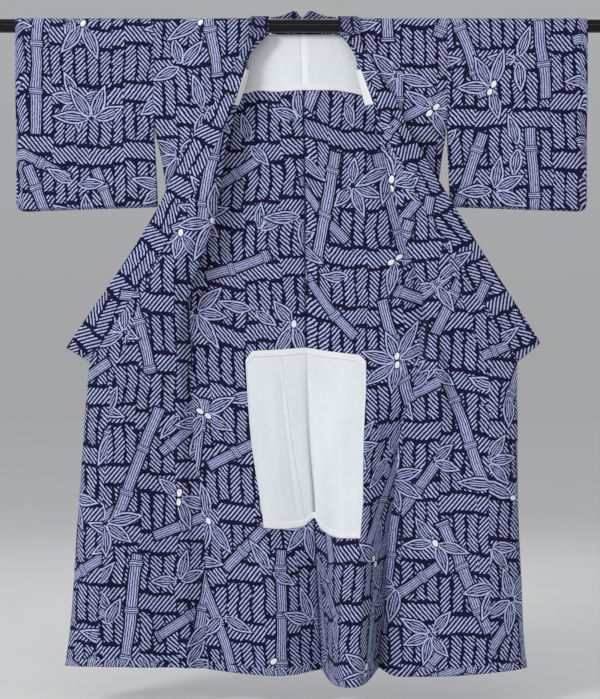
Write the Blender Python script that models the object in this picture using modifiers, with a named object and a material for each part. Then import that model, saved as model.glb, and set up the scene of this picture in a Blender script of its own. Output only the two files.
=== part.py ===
"""Cotton yukata robe hung wide open on a display rod.

The origin is on the rod's axis, half way along it.  +X runs to the viewer's right along the rod, +Z is up
and -Y points at the viewer, who sees the inside of the back between the two opened fronts.
All sizes are metres.  "Left" and "right" are the viewer's.  A drop is a distance below the rod's axis.
"""
import math

import bmesh
import bpy
from mathutils import Vector

# Driving sizes
ROD_RADIUS = 0.0172
ROD_LENGTH = 1.60
ROD_SIDES = 24
ROD_END_ROUND = 0.003
CLOTH_WALL = 0.0012
LINING_WALL = 0.0010
COLLAR_WALL = 0.0018
SEAM_GAP = 0.0006
LINING_GAP = 0.0008
CLOTH_OVER_ROD = 0.0013

HEM_DROP = 1.605
HEM_SHAPE_FROM = 1.05
ARMHOLE_DROP = 0.23
SIDE_SEAM_FROM = 0.33
SLEEVE_DROP = 0.465
SLEEVE_CORNER = 0.022
SLEEVE_INNER_RISE = 0.012
SLEEVE_TAPER = 0.01
SLEEVE_LAYERS_APART = 0.0028
SLEEVE_FOLD_ROUND = 0.008
CUFF_OPENING = 0.24
CUFF_CLOSES_OVER = 0.06
CUFF_SHUT = 0.08
NECK_DROP = 0.0195
FLAT_TO = 0.075
STANDING_ROW = 4
OKUMI_TIP = 0.010
OKUMI_SWELL = 0.006
TUCK_GROWS = 0.12

# How finely the cloth is cut into flat facets
DROPS = (0.0, 0.02, 0.045, 0.075, 0.093, 0.115, 0.16, 0.21, 0.265, 0.33, 0.395, 0.46, 0.525, 0.59, 0.65, 0.70,
         0.745, 0.79, 0.84, 0.90, 0.965, 1.035, 1.105, 1.18, 1.255, 1.33, 1.40, 1.47, 1.54, HEM_DROP)
WRAP_STEPS = 4
BACK_PARTS = (0.0, 0.11, 0.225, 0.38, None, 0.72, 0.86, 1.0)
NECK_COLUMN = 2
# The front's standing edge below the neck: how far in from the seam, and how far toward the viewer
STANDING_EDGE = ((0.0045, -0.0019), (0.0009, -0.0006), (-0.0006, 0.0012), (-0.0005, 0.0023),
                 (-0.0004, 0.0034), (-0.0003, 0.0045), (-0.0002, 0.0056))
STANDING_CLEAR = 0.0039
COLLAR_EDGE_BELOW = 0.012
FLAT_SHARES = (0.0, 0.33, 0.66, 0.968, 0.977, 0.983, 0.988, 0.992, 0.996, 1.0)
FLAT_LIFT_POWER = 3
UNDER_SHARES = (0.33, 0.66)
UNDER_BOW = 0.9
FACE_SHARES = (0.25, 0.5, 0.75, 1.0)
LINING_COLUMN = 4
FRONT_LINING_COLUMNS = (1, 2, 3, 4, 5, 6, 7, 8, 8.7)
VALLEY_FILL = 0.0008
NEAREST_ROW = 0.1
COLLAR_ACROSS = 3
# Okumi columns: part of the width where flat, part where its edge curls, share of the tuck
OKUMI_COLUMNS = ((0.0, 0.0, 0.0), (0.3, 0.4, 0.0), (0.6, 0.75, 0.04), (0.85, 1.0, 0.35), (1.0, 1.0, 1.0))
SLEEVE_STATIONS = (0.0, 0.2, 0.4, 0.6, 0.8)
SLEEVE_LOOP_DROPS = (0.0, 0.09, 0.18, 0.27, 0.36)
CORNER_STATIONS = (1.0, 0.55, 0.2, 0.0)
ARC_STEPS = 8

LEFT, RIGHT = -1, 1
CLOTH_RADIUS = ROD_RADIUS + CLOTH_OVER_ROD


def table(names, *rows):
    """Named columns against the first one: {"x": [(drop, x), ...], ...}."""
    names = names.split()
    return {name: [(row[0], row[place]) for row in rows] for place, name in enumerate(names)}


# Lines of the garment as they hang, each a short list of (drop, x)
CENTRE_SEAM = ((0.0, 0.0), (0.26, 0.005), (0.81, 0.010), (1.04, 0.018), (1.18, 0.030), (1.335, 0.036),
               (HEM_DROP, 0.050))
LINES = {
    LEFT: {
        "side": ((0.0, -0.370), (ARMHOLE_DROP, -0.370), (SIDE_SEAM_FROM, -0.352), (0.47, -0.330),
                 (0.60, -0.300), (0.70, -0.283), (0.83, -0.2775), (0.995, -0.2735), (1.14, -0.261),
                 (1.30, -0.2425), (HEM_DROP, -0.2375)),
        "roll": ((0.0, -0.081), (0.02, -0.081), (0.045, -0.101), (0.075, -0.124), (0.115, -0.133),
                 (0.16, -0.144), (0.206, -0.160), (0.316, -0.188), (0.474, -0.2125), (0.61, -0.257),
                 (0.684, -0.2865), (0.76, -0.304), (0.84, -0.311), (1.0, -0.312), (1.2, -0.305),
                 (HEM_DROP, -0.295)),
        "collar seam": ((0.0, -0.0830), (0.02, -0.0835), (0.045, -0.105), (0.068, -0.1265),
                        (0.118, -0.1425), (0.2075, -0.170), (0.351, -0.234), (0.492, -0.297),
                        (0.553, -0.336), (0.840, -0.525)),
        "okumi seam": ((0.553, -0.336), (0.637, -0.3755), (0.682, -0.399), (0.741, -0.417),
                       (0.786, -0.432), (0.842, -0.4565), (0.884, -0.472), (0.92, -0.4755),
                       (1.03, -0.4775), (1.17, -0.492), (1.41, -0.497), (HEM_DROP, -0.511)),
        "front edge": ((0.840, -0.525), (0.934, -0.538), (1.034, -0.5465), (1.183, -0.5585),
                       (1.285, -0.567), (1.39, -0.5735), (1.515, -0.584), (HEM_DROP, -0.5965)),
        "collar edge": ((0.0275, -0.1295), (0.211, -0.2235), (0.3165, -0.2915), (0.457, -0.3555),
                        (0.805, -0.583)),
        "hem": ((0.0, 1.613), (0.33, 1.621), (0.66, 1.615), (1.0, 1.608)),
        "front hem": ((0.0, 1.607), (0.5, 1.600), (1.0, 1.593)),
        "okumi hem": ((0.0, 1.593), (1.0, 1.597)),
    },
    RIGHT: {
        "side": ((0.0, 0.3625), (ARMHOLE_DROP, 0.3625), (SIDE_SEAM_FROM, 0.350), (0.47, 0.332),
                 (0.60, 0.312), (0.70, 0.302), (0.80, 0.297), (0.91, 0.278), (1.01, 0.247),
                 (1.185, 0.230), (1.285, 0.215), (1.41, 0.2075), (HEM_DROP, 0.193)),
        "roll": ((0.0, 0.089), (0.02, 0.0895), (0.045, 0.107), (0.075, 0.126), (0.115, 0.136),
                 (0.16, 0.147), (0.206, 0.158), (0.304, 0.195), (0.3855, 0.2125), (0.455, 0.232),
                 (0.551, 0.2545), (0.61, 0.278), (0.662, 0.296), (0.74, 0.310), (0.84, 0.322),
                 (1.0, 0.312), (1.2, 0.287), (HEM_DROP, 0.252)),
        "collar seam": ((0.0, 0.0910), (0.02, 0.0920), (0.045, 0.112), (0.068, 0.1265), (0.146, 0.158),
                        (0.203, 0.1775), (0.272, 0.202), (0.514, 0.3315), (0.5435, 0.3495),
                        (0.840, 0.533)),
        "okumi seam": ((0.5435, 0.3495), (0.625, 0.3775), (0.682, 0.395), (0.736, 0.415),
                       (0.7905, 0.432), (0.84, 0.449), (0.909, 0.4615), (1.13, 0.4615), (1.33, 0.464),
                       (HEM_DROP, 0.469)),
        "front edge": ((0.840, 0.533), (0.972, 0.5375), (1.106, 0.540), (1.2155, 0.5425),
                       (1.39, 0.552), (1.514, 0.557), (HEM_DROP, 0.567)),
        "collar edge": ((0.0275, 0.1385), (0.119, 0.186), (0.177, 0.225), (0.239, 0.252),
                        (0.477, 0.390), (0.793, 0.590)),
        "hem": ((0.0, 1.613), (0.2, 1.639), (0.5, 1.637), (0.75, 1.632), (1.0, 1.608)),
        "front hem": ((0.0, 1.608), (0.25, 1.621), (0.7, 1.619), (1.0, 1.609)),
        "okumi hem": ((0.0, 1.609), (1.0, 1.602)),
    },
}

SLEEVE_X = {
    LEFT: {"seam": -0.3706, "free edge": -0.3610, "cuff": -0.7140},
    RIGHT: {"seam": 0.3631, "free edge": 0.3700, "cuff": 0.7120},
}

# How far back (+) or toward the viewer (-) the cloth hangs, one row for each drop
BACK_DEPTHS = {
    LEFT: table(
        "drop centre inner outer side",
        (0.00, 0.0185, 0.0185, 0.0185, 0.0185),
        (ARMHOLE_DROP, 0.0180, 0.0180, 0.0175, 0.0170),
        (SIDE_SEAM_FROM, 0.0180, 0.0170, 0.0140, 0.0060),
        (0.47, 0.0185, 0.0150, 0.0100, 0.0040),
        (0.83, 0.0220, 0.0120, 0.0060, 0.0000),
        (1.20, 0.0260, 0.0000, -0.0080, 0.0000),
        (HEM_DROP, 0.0320, -0.0260, -0.0300, 0.0030),
    ),
    RIGHT: table(
        "drop centre inner outer side",
        (0.00, 0.0185, 0.0185, 0.0185, 0.0185),
        (ARMHOLE_DROP, 0.0180, 0.0180, 0.0175, 0.0170),
        (SIDE_SEAM_FROM, 0.0180, 0.0170, 0.0140, 0.0060),
        (0.47, 0.0185, 0.0150, 0.0100, 0.0040),
        (0.83, 0.0220, 0.0060, 0.0020, 0.0040),
        (1.00, 0.0240, -0.0200, -0.0220, 0.0100),
        (1.20, 0.0280, -0.0500, -0.0520, 0.0180),
        (HEM_DROP, 0.0340, -0.0880, -0.0900, 0.0300),
    ),
}
BACK_KNOTS = ("centre", "inner", "outer", "side")
FRONT_DEPTHS = {
    LEFT: table(
        "drop under roll fall seam edge",
        (0.00, -0.0187, -0.0190, -0.0190, -0.0190, -0.0290),
        (0.02, -0.0190, -0.0190, -0.0190, -0.0190, -0.0310),
        (0.045, -0.0195, -0.0210, -0.0220, -0.0220, -0.0350),
        (0.075, -0.0205, -0.0240, -0.0280, -0.0280, -0.0400),
        (0.115, -0.0220, -0.0350, -0.0390, -0.0400, -0.0450),
        (0.21, -0.0260, -0.0520, -0.0600, -0.0620, -0.0520),
        (0.33, -0.0280, -0.0620, -0.0720, -0.0740, -0.0600),
        (0.47, -0.0280, -0.0680, -0.0800, -0.0760, -0.0600),
        (0.60, -0.0250, -0.0640, -0.0760, -0.0720, -0.0580),
        (0.70, -0.0230, -0.0560, -0.0680, -0.0700, -0.0560),
        (0.84, -0.0200, -0.0460, -0.0560, -0.0660, -0.0500),
        (1.00, -0.0120, -0.0340, -0.0500, -0.0620, -0.0400),
        (1.20, -0.0080, -0.0300, -0.0480, -0.0600, -0.0300),
        (HEM_DROP, -0.0080, -0.0320, -0.0500, -0.0560, -0.0160),
    ),
    RIGHT: table(
        "drop under roll fall seam edge",
        (0.00, -0.0187, -0.0190, -0.0190, -0.0190, -0.0290),
        (0.02, -0.0190, -0.0190, -0.0190, -0.0190, -0.0310),
        (0.045, -0.0195, -0.0210, -0.0220, -0.0220, -0.0350),
        (0.075, -0.0205, -0.0240, -0.0280, -0.0280, -0.0400),
        (0.115, -0.0220, -0.0350, -0.0390, -0.0400, -0.0450),
        (0.21, -0.0260, -0.0520, -0.0600, -0.0620, -0.0520),
        (0.33, -0.0280, -0.0640, -0.0740, -0.0760, -0.0600),
        (0.47, -0.0280, -0.0720, -0.0840, -0.0800, -0.0600),
        (0.60, -0.0250, -0.0700, -0.0820, -0.0760, -0.0580),
        (0.70, -0.0230, -0.0640, -0.0700, -0.0720, -0.0560),
        (0.84, -0.0200, -0.0600, -0.0460, -0.0660, -0.0500),
        (1.00, -0.0140, -0.0540, -0.0400, -0.0620, -0.0400),
        (1.20, -0.0080, -0.0440, -0.0460, -0.0600, -0.0300),
        (HEM_DROP, -0.0060, -0.0440, -0.0520, -0.0560, -0.0160),
    ),
}
# The front is folded flat on itself above the last fold drops, and only ridged below them
ROLL_DEPTH_RIDGED = 0.4
ROLL_DEPTH_FOLDED = 2.0
FOLD = table(
    "drop radius turn",
    (0.00, 0.0028, 1.0),
    (0.093, 0.0028, 1.0),
    (0.115, 0.0038, 1.0),
    (0.16, 0.0065, 1.0),
    (0.21, 0.0080, 1.0),
    (0.33, 0.0100, 1.0),
    (0.60, 0.0100, 1.0),
    (0.70, 0.0100, 0.75),
    (0.79, 0.0110, 0.25),
    (0.90, 0.0120, 0.0),
    (HEM_DROP, 0.0140, 0.0),
)
# The front edge tucks back behind itself below the collar's end
TUCK = table(
    "drop inward back",
    (0.80, 0.001, 0.003),
    (0.86, 0.002, 0.008),
    (0.95, 0.006, 0.020),
    (1.20, 0.012, 0.030),
    (HEM_DROP, 0.014, 0.034),
)
# The collar round the neck, from the centre of the back to the front of the left shoulder
COLLAR_NECK = table(
    "place seam_x seam_y seam_z edge_x edge_y edge_z",
    (0, 0.000, 0.0188, -0.0186, 0.001, 0.0235, 0.0215),
    (1, -0.009, 0.0188, -0.0186, -0.008, 0.0260, 0.0330),
    (2, -0.018, 0.0188, -0.0186, -0.018, 0.0280, 0.0420),
    (3, -0.038, 0.0188, -0.0186, -0.040, 0.0285, 0.0340),
    (4, -0.060, 0.0190, -0.0184, -0.058, 0.0280, 0.0280),
    (5, -0.0767, 0.0212, -0.0158, -0.0789, 0.0321, 0.0261),
    (6, -0.0783, 0.0220, -0.0103, -0.0797, 0.0331, 0.0220),
    (7, -0.0793, 0.0230, 0.0029, -0.0891, 0.0303, 0.0247),
    (8, -0.0836, 0.0119, 0.0192, -0.1134, 0.0115, 0.0209),
    (9, -0.0820, -0.0050, 0.0228, -0.123, 0.0000, 0.0232),
    (10, -0.0820, -0.0180, 0.0130, -0.129, -0.0150, 0.0180),
    (11, -0.0830, -0.0222, 0.0000, -0.132, -0.0265, 0.0010),
    (12, -0.0850, -0.0235, -0.0190, -0.132, -0.0310, -0.0220),
)
COLLAR_NECK_SPREAD = {LEFT: 1.0, RIGHT: 1.095}

# Linings: how far down they reach, and how far out as (drop, part of the back's half width)
SHOULDER_LINING_TOP = {LEFT: 0.0196, RIGHT: 0.0196}
SHOULDER_LINING_HEM = {LEFT: 0.1615, RIGHT: 0.168}
SHOULDER_LINING_FRONT_DROP = 0.204
SEAT_LINING_TOP = {LEFT: 0.812, RIGHT: 0.820}
SEAT_LINING_BOTTOM = {LEFT: 1.255, RIGHT: 1.272}
LINING_PART = {
    LEFT: ((0.0, 0.55), (0.30, 0.55), (0.81, 0.53), (1.05, 0.50), (1.27, 0.46), (HEM_DROP, 0.50)),
    RIGHT: ((0.0, 0.55), (0.30, 0.55), (0.81, 0.53), (1.05, 0.60), (1.27, 0.60), (HEM_DROP, 0.56)),
}


def smooth(points, at):
    """Value at `at` on a smooth line through points that never overshoots them."""
    if at <= points[0][0]:
        return points[0][1]
    if at >= points[-1][0]:
        return points[-1][1]
    place = next(i for i in range(1, len(points)) if at <= points[i][0])
    (x0, y0), (x1, y1) = points[place - 1], points[place]
    span = x1 - x0
    slope0, slope1 = slope(points, place - 1), slope(points, place)
    t = (at - x0) / span
    return ((1 + 2 * t) * (1 - t) ** 2 * y0 + t * (1 - t) ** 2 * span * slope0
            + t * t * (3 - 2 * t) * y1 + t * t * (t - 1) * span * slope1)


def slope(points, place):
    """Slope at one point, level where the line turns back."""
    steps = []
    for i in (place, place + 1):
        if 1 <= i < len(points):
            steps.append((points[i][1] - points[i - 1][1]) / (points[i][0] - points[i - 1][0]))
    if len(steps) == 1:
        return steps[0]
    if steps[0] * steps[1] <= 0:
        return 0.0
    return 2 * steps[0] * steps[1] / (steps[0] + steps[1])


def mix(a, b, t):
    return a + (b - a) * t


def ease(t):
    t = min(max(t, 0.0), 1.0)
    return t * t * (3 - 2 * t)


def line_x(side, name, drop):
    return smooth(LINES[side][name], drop)


def hem_shift(side, name, part, drop):
    """How much lower than its nominal drop a point hangs, so that the hem has its real line."""
    shift = smooth(LINES[side][name], part) - HEM_DROP
    return shift * ease((drop - HEM_SHAPE_FROM) / (HEM_DROP - HEM_SHAPE_FROM))


def back_depth(side, part, drop):
    last = len(BACK_KNOTS) - 1
    knots = [(i / last, smooth(BACK_DEPTHS[side][name], drop)) for i, name in enumerate(BACK_KNOTS)]
    return curve_through(knots, part)


def curve_through(knots, at):
    """Rounder than smooth(): the folds of the cloth may swell a little past the knots."""
    place = max(1, min(len(knots) - 1, sum(1 for k in knots if k[0] < at)))
    points = [knots[min(max(i, 0), len(knots) - 1)] for i in range(place - 2, place + 2)]
    (xa, ya), (x0, y0), (x1, y1), (xb, yb) = points
    span = x1 - x0
    m0 = (y1 - ya) / (x1 - xa)
    m1 = (yb - y0) / (xb - x0)
    t = (at - x0) / span
    return ((1 + 2 * t) * (1 - t) ** 2 * y0 + t * (1 - t) ** 2 * span * m0
            + t * t * (3 - 2 * t) * y1 + t * t * (t - 1) * span * m1)


def back_point(side, part, drop):
    x = mix(smooth(CENTRE_SEAM, drop) + side * SEAM_GAP / 2, line_x(side, "side", drop), part)
    return Vector((x, back_depth(side, part, drop), -drop - hem_shift(side, "hem", part, drop)))


def over_rod(x, angle):
    """A point on the cloth where it lies over the rod; angle 0 is behind it and pi in front."""
    return Vector((x, CLOTH_RADIUS * math.cos(angle), CLOTH_RADIUS * math.sin(angle)))


def back_rows(side):
    """The hanging back and the part over the rod, which has no points across the neck's opening."""
    top_gap = SEAM_GAP / 2 / CLOTH_RADIUS
    rows = hanging_back_rows(side)
    xs = [point.x for point in back_row(side, 0.0)]
    xs[NECK_COLUMN] = line_x(side, "collar seam", 0.0)
    for step in range(WRAP_STEPS + 1):
        angle = (math.pi / 2 - top_gap) * step / WRAP_STEPS
        row = [over_rod(x, angle) for x in xs]
        rows.append([None] * NECK_COLUMN + row[NECK_COLUMN:])
    return rows


def hanging_back_rows(side):
    """The back from its hem up to the neck's edge behind the rod."""
    below_neck = [drop for drop in reversed(DROPS) if drop > DROPS[1]]
    return [back_row(side, drop) for drop in below_neck + [NECK_DROP]]


def back_row(side, drop):
    parts = [smooth(LINING_PART[side], drop) if part is None else part for part in BACK_PARTS]
    return [back_point(side, part, drop) for part in parts]


def side_edge_depth(side, drop):
    """The front's side edge: on the sleeve's seam, and lower down on the back's side edge."""
    lap = math.sin(math.pi / 2 * smooth(FOLD["turn"], drop))
    behind = smooth(BACK_DEPTHS[side]["side"], drop) - (CLOTH_WALL + SEAM_GAP) * lap
    before = -smooth(BACK_DEPTHS[side]["side"], min(drop, ARMHOLE_DROP))
    return mix(before, behind, ease((drop - ARMHOLE_DROP) / (SIDE_SEAM_FROM - ARMHOLE_DROP)))


def front_seam_x(side, drop):
    """Where the front panel ends: at the collar, and below the collar's crossing at the okumi."""
    seam = LINES[side]["okumi seam"]
    name = "collar seam" if drop <= seam[0][0] else "okumi seam"
    return line_x(side, name, drop)


def front_section(side, drop):
    """(x, y) control points of the front panel at one drop, from its side edge to its seam."""
    depth = {name: smooth(points, drop) for name, points in FRONT_DEPTHS[side].items()}
    radius = smooth(FOLD["radius"], drop)
    turn = smooth(FOLD["turn"], drop)
    roll_x = line_x(side, "roll", drop)
    seam_x = front_seam_x(side, drop) - side * SEAM_GAP / 2
    beside = math.cos(math.pi / 2 * turn) * (CLOTH_WALL + SEAM_GAP)
    side_x = line_x(side, "side", drop) + side * beside
    behind_roll = depth["roll"] + radius * mix(ROLL_DEPTH_RIDGED, ROLL_DEPTH_FOLDED, turn)
    back_of_roll = (roll_x + side * radius * (2 * turn - 1), behind_roll)
    face_of_roll = (roll_x + side * radius, depth["roll"])
    points = [(side_x, side_edge_depth(side, drop))]
    bow = UNDER_BOW * (depth["under"] - mix(side_edge_depth(side, drop), behind_roll, 0.5))
    for t in UNDER_SHARES:
        points.append((mix(side_x, back_of_roll[0], t), mix(points[0][1], behind_roll, t) + bow))
    points += [back_of_roll, (roll_x, depth["roll"] + radius * turn), face_of_roll]
    knots = [(0.0, depth["roll"]), (0.5, depth["fall"]), (1.0, depth["seam"])]
    for t in FACE_SHARES:
        points.append((mix(face_of_roll[0], seam_x, t), curve_through(knots, t)))
    return points


def flat_section(side, drop):
    """The same points where the panel is plain cloth from the side edge to the neck's edge."""
    side_x = line_x(side, "side", drop)
    neck_x = line_x(side, "collar seam", drop)
    return [mix(side_x, neck_x, share) for share in FLAT_SHARES]


def standing_row(side, drop):
    """Between the flat and the folded rows the panel's edge stands up toward the viewer."""
    side_x = line_x(side, "side", drop)
    stand_x = line_x(side, "collar seam", drop) - side * (CLOTH_WALL / 2 + SEAM_GAP)
    base_y = smooth(FRONT_DEPTHS[side]["roll"], drop)
    row = []
    for share in (0.0, *UNDER_SHARES):
        row.append(Vector((mix(side_x, stand_x, share), mix(-CLOTH_RADIUS, base_y, share), -drop)))
    for inward, out in STANDING_EDGE:
        row.append(Vector((stand_x + side * inward, base_y - out, -drop)))
    return row


def side_drops(side):
    """The rows' drops, with one more where the okumi's seam leaves the collar's."""
    return sorted(DROPS + (LINES[side]["okumi seam"][0][0],))


def front_rows(side):
    """The front panel from the top of the rod down: over it, flat, standing, then folded or ridged."""
    top_gap = SEAM_GAP / 2 / CLOTH_RADIUS
    rows = []
    for step in range(WRAP_STEPS + 1):
        angle = math.pi / 2 + top_gap + (math.pi / 2 - top_gap) * step / WRAP_STEPS
        rows.append([over_rod(x, angle) for x in flat_section(side, 0.0)])
    for drop in [drop for drop in DROPS if 0.0 < drop <= FLAT_TO]:
        last_y = smooth(FRONT_DEPTHS[side]["seam"], drop)
        ys = [mix(-CLOTH_RADIUS, last_y, share ** FLAT_LIFT_POWER) for share in FLAT_SHARES]
        rows.append([Vector((x, y, -drop)) for x, y in zip(flat_section(side, drop), ys)])
    rows.append(standing_row(side, DROPS[STANDING_ROW]))
    for drop in side_drops(side)[STANDING_ROW + 1:]:
        row = []
        points = front_section(side, drop)
        for place, (x, y) in enumerate(points):
            part = place / (len(points) - 1)
            row.append(Vector((x, y, -drop - hem_shift(side, "front hem", part, drop))))
        rows.append(row)
    return rows


def okumi_rows(side):
    """The narrow front piece between the front panel's seam and the collar or the tucked edge."""
    end = LINES[side]["collar seam"][-1][0]
    tip = LINES[side]["okumi seam"][0][0]
    rows = []
    for drop in [tip + OKUMI_TIP] + [d for d in DROPS if d > tip]:
        seam_x = line_x(side, "okumi seam", drop) + side * SEAM_GAP / 2
        below = ease((drop - end) / TUCK_GROWS)
        edge_name = "front edge" if drop > end else "collar seam"
        edge_x = line_x(side, edge_name, drop) - side * SEAM_GAP / 2
        seam_y = smooth(FRONT_DEPTHS[side]["seam"], drop)
        edge_y = lapel_depth(side, edge_x, drop)
        inward, back = smooth(TUCK["inward"], drop) * below, smooth(TUCK["back"], drop) * below
        row = []
        for flat_part, curled_part, tucked in OKUMI_COLUMNS:
            part = mix(flat_part, curled_part, below)
            x = mix(seam_x, edge_x, part) - side * inward * tucked
            y = mix(seam_y, edge_y, part) - OKUMI_SWELL * below * math.sin(math.pi * part) + back * tucked
            row.append(Vector((x, y, -drop - hem_shift(side, "okumi hem", part, drop))))
        rows.append(row)
    return rows


def lapel_depth(side, x, drop):
    """Depth of the turned-out front between its seam and the outer edge."""
    seam_x = front_seam_x(side, drop)
    end = LINES[side]["collar edge"][-1][0]
    outer_x = line_x(side, "collar edge" if drop < end else "front edge", drop)
    part = min(max((x - seam_x) / (outer_x - seam_x), 0.0), 1.0)
    return mix(smooth(FRONT_DEPTHS[side]["seam"], drop), smooth(FRONT_DEPTHS[side]["edge"], drop), part)


def lapel_point(side, name, drop):
    """A point of the collar's seam or free edge down one front."""
    x = line_x(side, name, drop)
    if name == "collar edge":
        return Vector((x, smooth(FRONT_DEPTHS[side]["edge"], drop), -drop))
    return Vector((x, lapel_depth(side, x, drop), -drop))


def neck_station(side, row):
    """The collar's seam and free edge at one place round the neck."""
    spread = COLLAR_NECK_SPREAD[side]
    names = ("seam_x", "seam_y", "seam_z", "edge_x", "edge_y", "edge_z")
    values = dict(zip(names, (COLLAR_NECK[name][row][1] for name in names)))
    seam = Vector((values["seam_x"] * -side * spread, values["seam_y"], values["seam_z"]))
    edge = Vector((values["edge_x"] * -side * spread, values["edge_y"], values["edge_z"]))
    return seam, edge


def collar_half(side):
    """(seam point, free edge point) pairs from the centre of the neck to the collar's end.

    The seam lies on the cloth of the shoulder, moves off it at the standing row and then runs beside it."""
    pairs = [neck_station(side, row) for row in range(len(COLLAR_NECK["place"]))]
    seam_from, seam_to = DROPS[2], LINES[side]["collar seam"][-1][0]
    edge_from, edge_to = (LINES[side]["collar edge"][place][0] for place in (0, -1))
    for drop in [d for d in side_drops(side) if seam_from <= d <= seam_to]:
        share = (drop - seam_from) / (seam_to - seam_from)
        seam = lapel_point(side, "collar seam", drop)
        edge = lapel_point(side, "collar edge", mix(edge_from + COLLAR_EDGE_BELOW, edge_to, share))
        if drop <= FLAT_TO:
            seam.y -= (CLOTH_WALL + COLLAR_WALL) / 2 + SEAM_GAP
        elif drop == DROPS[STANDING_ROW]:
            seam.x += side * STANDING_CLEAR
        else:
            seam += (edge - seam).normalized() * SEAM_GAP
        pairs.append((seam, edge))
    return pairs


def collar_rows():
    """The whole collar from the left front's end, round the neck, to the right front's end."""
    pairs = list(reversed(collar_half(LEFT)))[:-1] + collar_half(RIGHT)
    rows = []
    for seam, edge in pairs:
        rows.append([seam.lerp(edge, i / COLLAR_ACROSS) for i in range(COLLAR_ACROSS + 1)])
    return rows


def sleeve_half_depth(drop, shut):
    """Half the distance between a sleeve's two layers; shut is 1 where it hangs open."""
    depth = smooth(BACK_DEPTHS[LEFT]["side"], min(drop, ARMHOLE_DROP))
    depth -= SLEEVE_TAPER * max(0.0, drop - ARMHOLE_DROP)
    closing = ease((drop - CUFF_OPENING) / CUFF_CLOSES_OVER + 0.5)
    return max(depth * mix(1.0, shut, closing), SLEEVE_LAYERS_APART / 2)


def sleeve_loop(bottom, shut):
    """(y, z) points round one sleeve: up its back, over the rod and down its front."""
    drops = SLEEVE_LOOP_DROPS + (bottom - SLEEVE_FOLD_ROUND,)
    down = [(sleeve_half_depth(drop, shut), -drop) for drop in drops]
    back = [(y, z) for y, z in reversed(down)]
    front = [(-y, z) for y, z in down]
    arc = []
    for step in range(1, ARC_STEPS):
        angle = math.pi * step / ARC_STEPS
        arc.append((CLOTH_RADIUS * math.cos(angle), CLOTH_RADIUS * math.sin(angle)))
    return [(0.0, -bottom)] + back + arc + front


def sleeve_rows(side):
    """Loops from the armhole's seam to the cuff, whose lower corner is round."""
    x = SLEEVE_X[side]
    reach = abs(x["cuff"] - x["seam"])
    straight = reach - SLEEVE_CORNER
    stations = [(part * straight, 1.0) for part in SLEEVE_STATIONS]
    for left_over in CORNER_STATIONS:
        stations.append((reach - SLEEVE_CORNER * left_over, mix(CUFF_SHUT, 1.0, left_over)))
    rows = []
    for along, shut in stations:
        past = max(along - straight, 0.0)
        lift = SLEEVE_CORNER - math.sqrt(max(SLEEVE_CORNER ** 2 - past ** 2, 0.0))
        bottom = SLEEVE_DROP - SLEEVE_INNER_RISE * (1 - along / reach) - lift
        row = []
        for y, z in sleeve_loop(bottom, shut):
            start = mix(x["seam"], x["free edge"], ease((-z - ARMHOLE_DROP) / (SLEEVE_DROP - ARMHOLE_DROP)))
            row.append(Vector((mix(start, x["cuff"], along / reach), y, z)))
        rows.append(row)
    return rows


def neighbour(rows, i, j):
    if 0 <= i < len(rows) and 0 <= j < len(rows[i]):
        return rows[i][j]
    return None


def between(rows, i, j):
    """A point part way between the points of a grid, on its flat facets."""
    i0, j0 = min(int(i), len(rows) - 2), min(int(j), len(rows[0]) - 2)
    s, t = i - i0, j - j0
    first = rows[i0][j0].lerp(rows[i0][j0 + 1], t)
    if s == 0:
        return first
    return first.lerp(rows[i0 + 1][j0].lerp(rows[i0 + 1][j0 + 1], t), s)


def moved_out(rows, toward, distance):
    """The grid moved along its normals, to the side that `toward` points at."""
    out = []
    for i, row in enumerate(rows):
        line = []
        for j, point in enumerate(row):
            up = neighbour(rows, i + 1, j) or point
            down = neighbour(rows, i - 1, j) or point
            right = neighbour(rows, i, j + 1) or point
            left = neighbour(rows, i, j - 1) or point
            line.append(point + (right - left).cross(up - down).normalized() * (distance * toward))
        out.append(line)
    return out


def row_place(rows, column, drop):
    """Fractional row where a grid's column reaches a drop; rows run upward or downward."""
    for i in range(len(rows) - 1):
        a, b = -rows[i][column].z, -rows[i + 1][column].z
        if min(a, b) <= drop <= max(a, b):
            return i + (drop - a) / (b - a)
    raise ValueError(drop)


def back_lining_rows(top, bottom):
    """A lining over the centre seam, made from the points of both back panels moved to the viewer."""
    off = CLOTH_WALL / 2 + LINING_GAP + LINING_WALL / 2
    grids, ends = {}, {}
    for side in (LEFT, RIGHT):
        hanging = hanging_back_rows(side)
        grids[side] = moved_out(hanging, side, off)
        ends[side] = [row_place(hanging, 1, drop[side]) for drop in (bottom, top)]
    first = math.ceil(max(ends[LEFT][0], ends[RIGHT][0]) + NEAREST_ROW)
    last = math.floor(min(ends[LEFT][1], ends[RIGHT][1]) - NEAREST_ROW)
    inner = range(first, last + 1)
    rows = []
    for k in range(len(inner) + 2):
        left_place, right_place = (ends[side][0 if k == 0 else 1] for side in (LEFT, RIGHT))
        if 0 < k <= len(inner):
            left_place = right_place = inner[k - 1]
        left = [between(grids[LEFT], left_place, j) for j in range(LINING_COLUMN, -1, -1)]
        right = [between(grids[RIGHT], right_place, j) for j in range(LINING_COLUMN + 1)]
        rows.append(left[:-1] + [mitre(left, right)] + right[1:])
    return rows


def mitre(left, right):
    """Where the two halves of a lining meet over the valley of the centre seam."""
    middle = left[-1].lerp(right[0], 0.5)
    slopes = [abs((b.y - middle.y) / (b.x - middle.x)) for b in (left[-2], right[1])]
    return middle - Vector((0.0, SEAM_GAP / 2 + VALLEY_FILL * max(slopes), 0.0))


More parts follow.
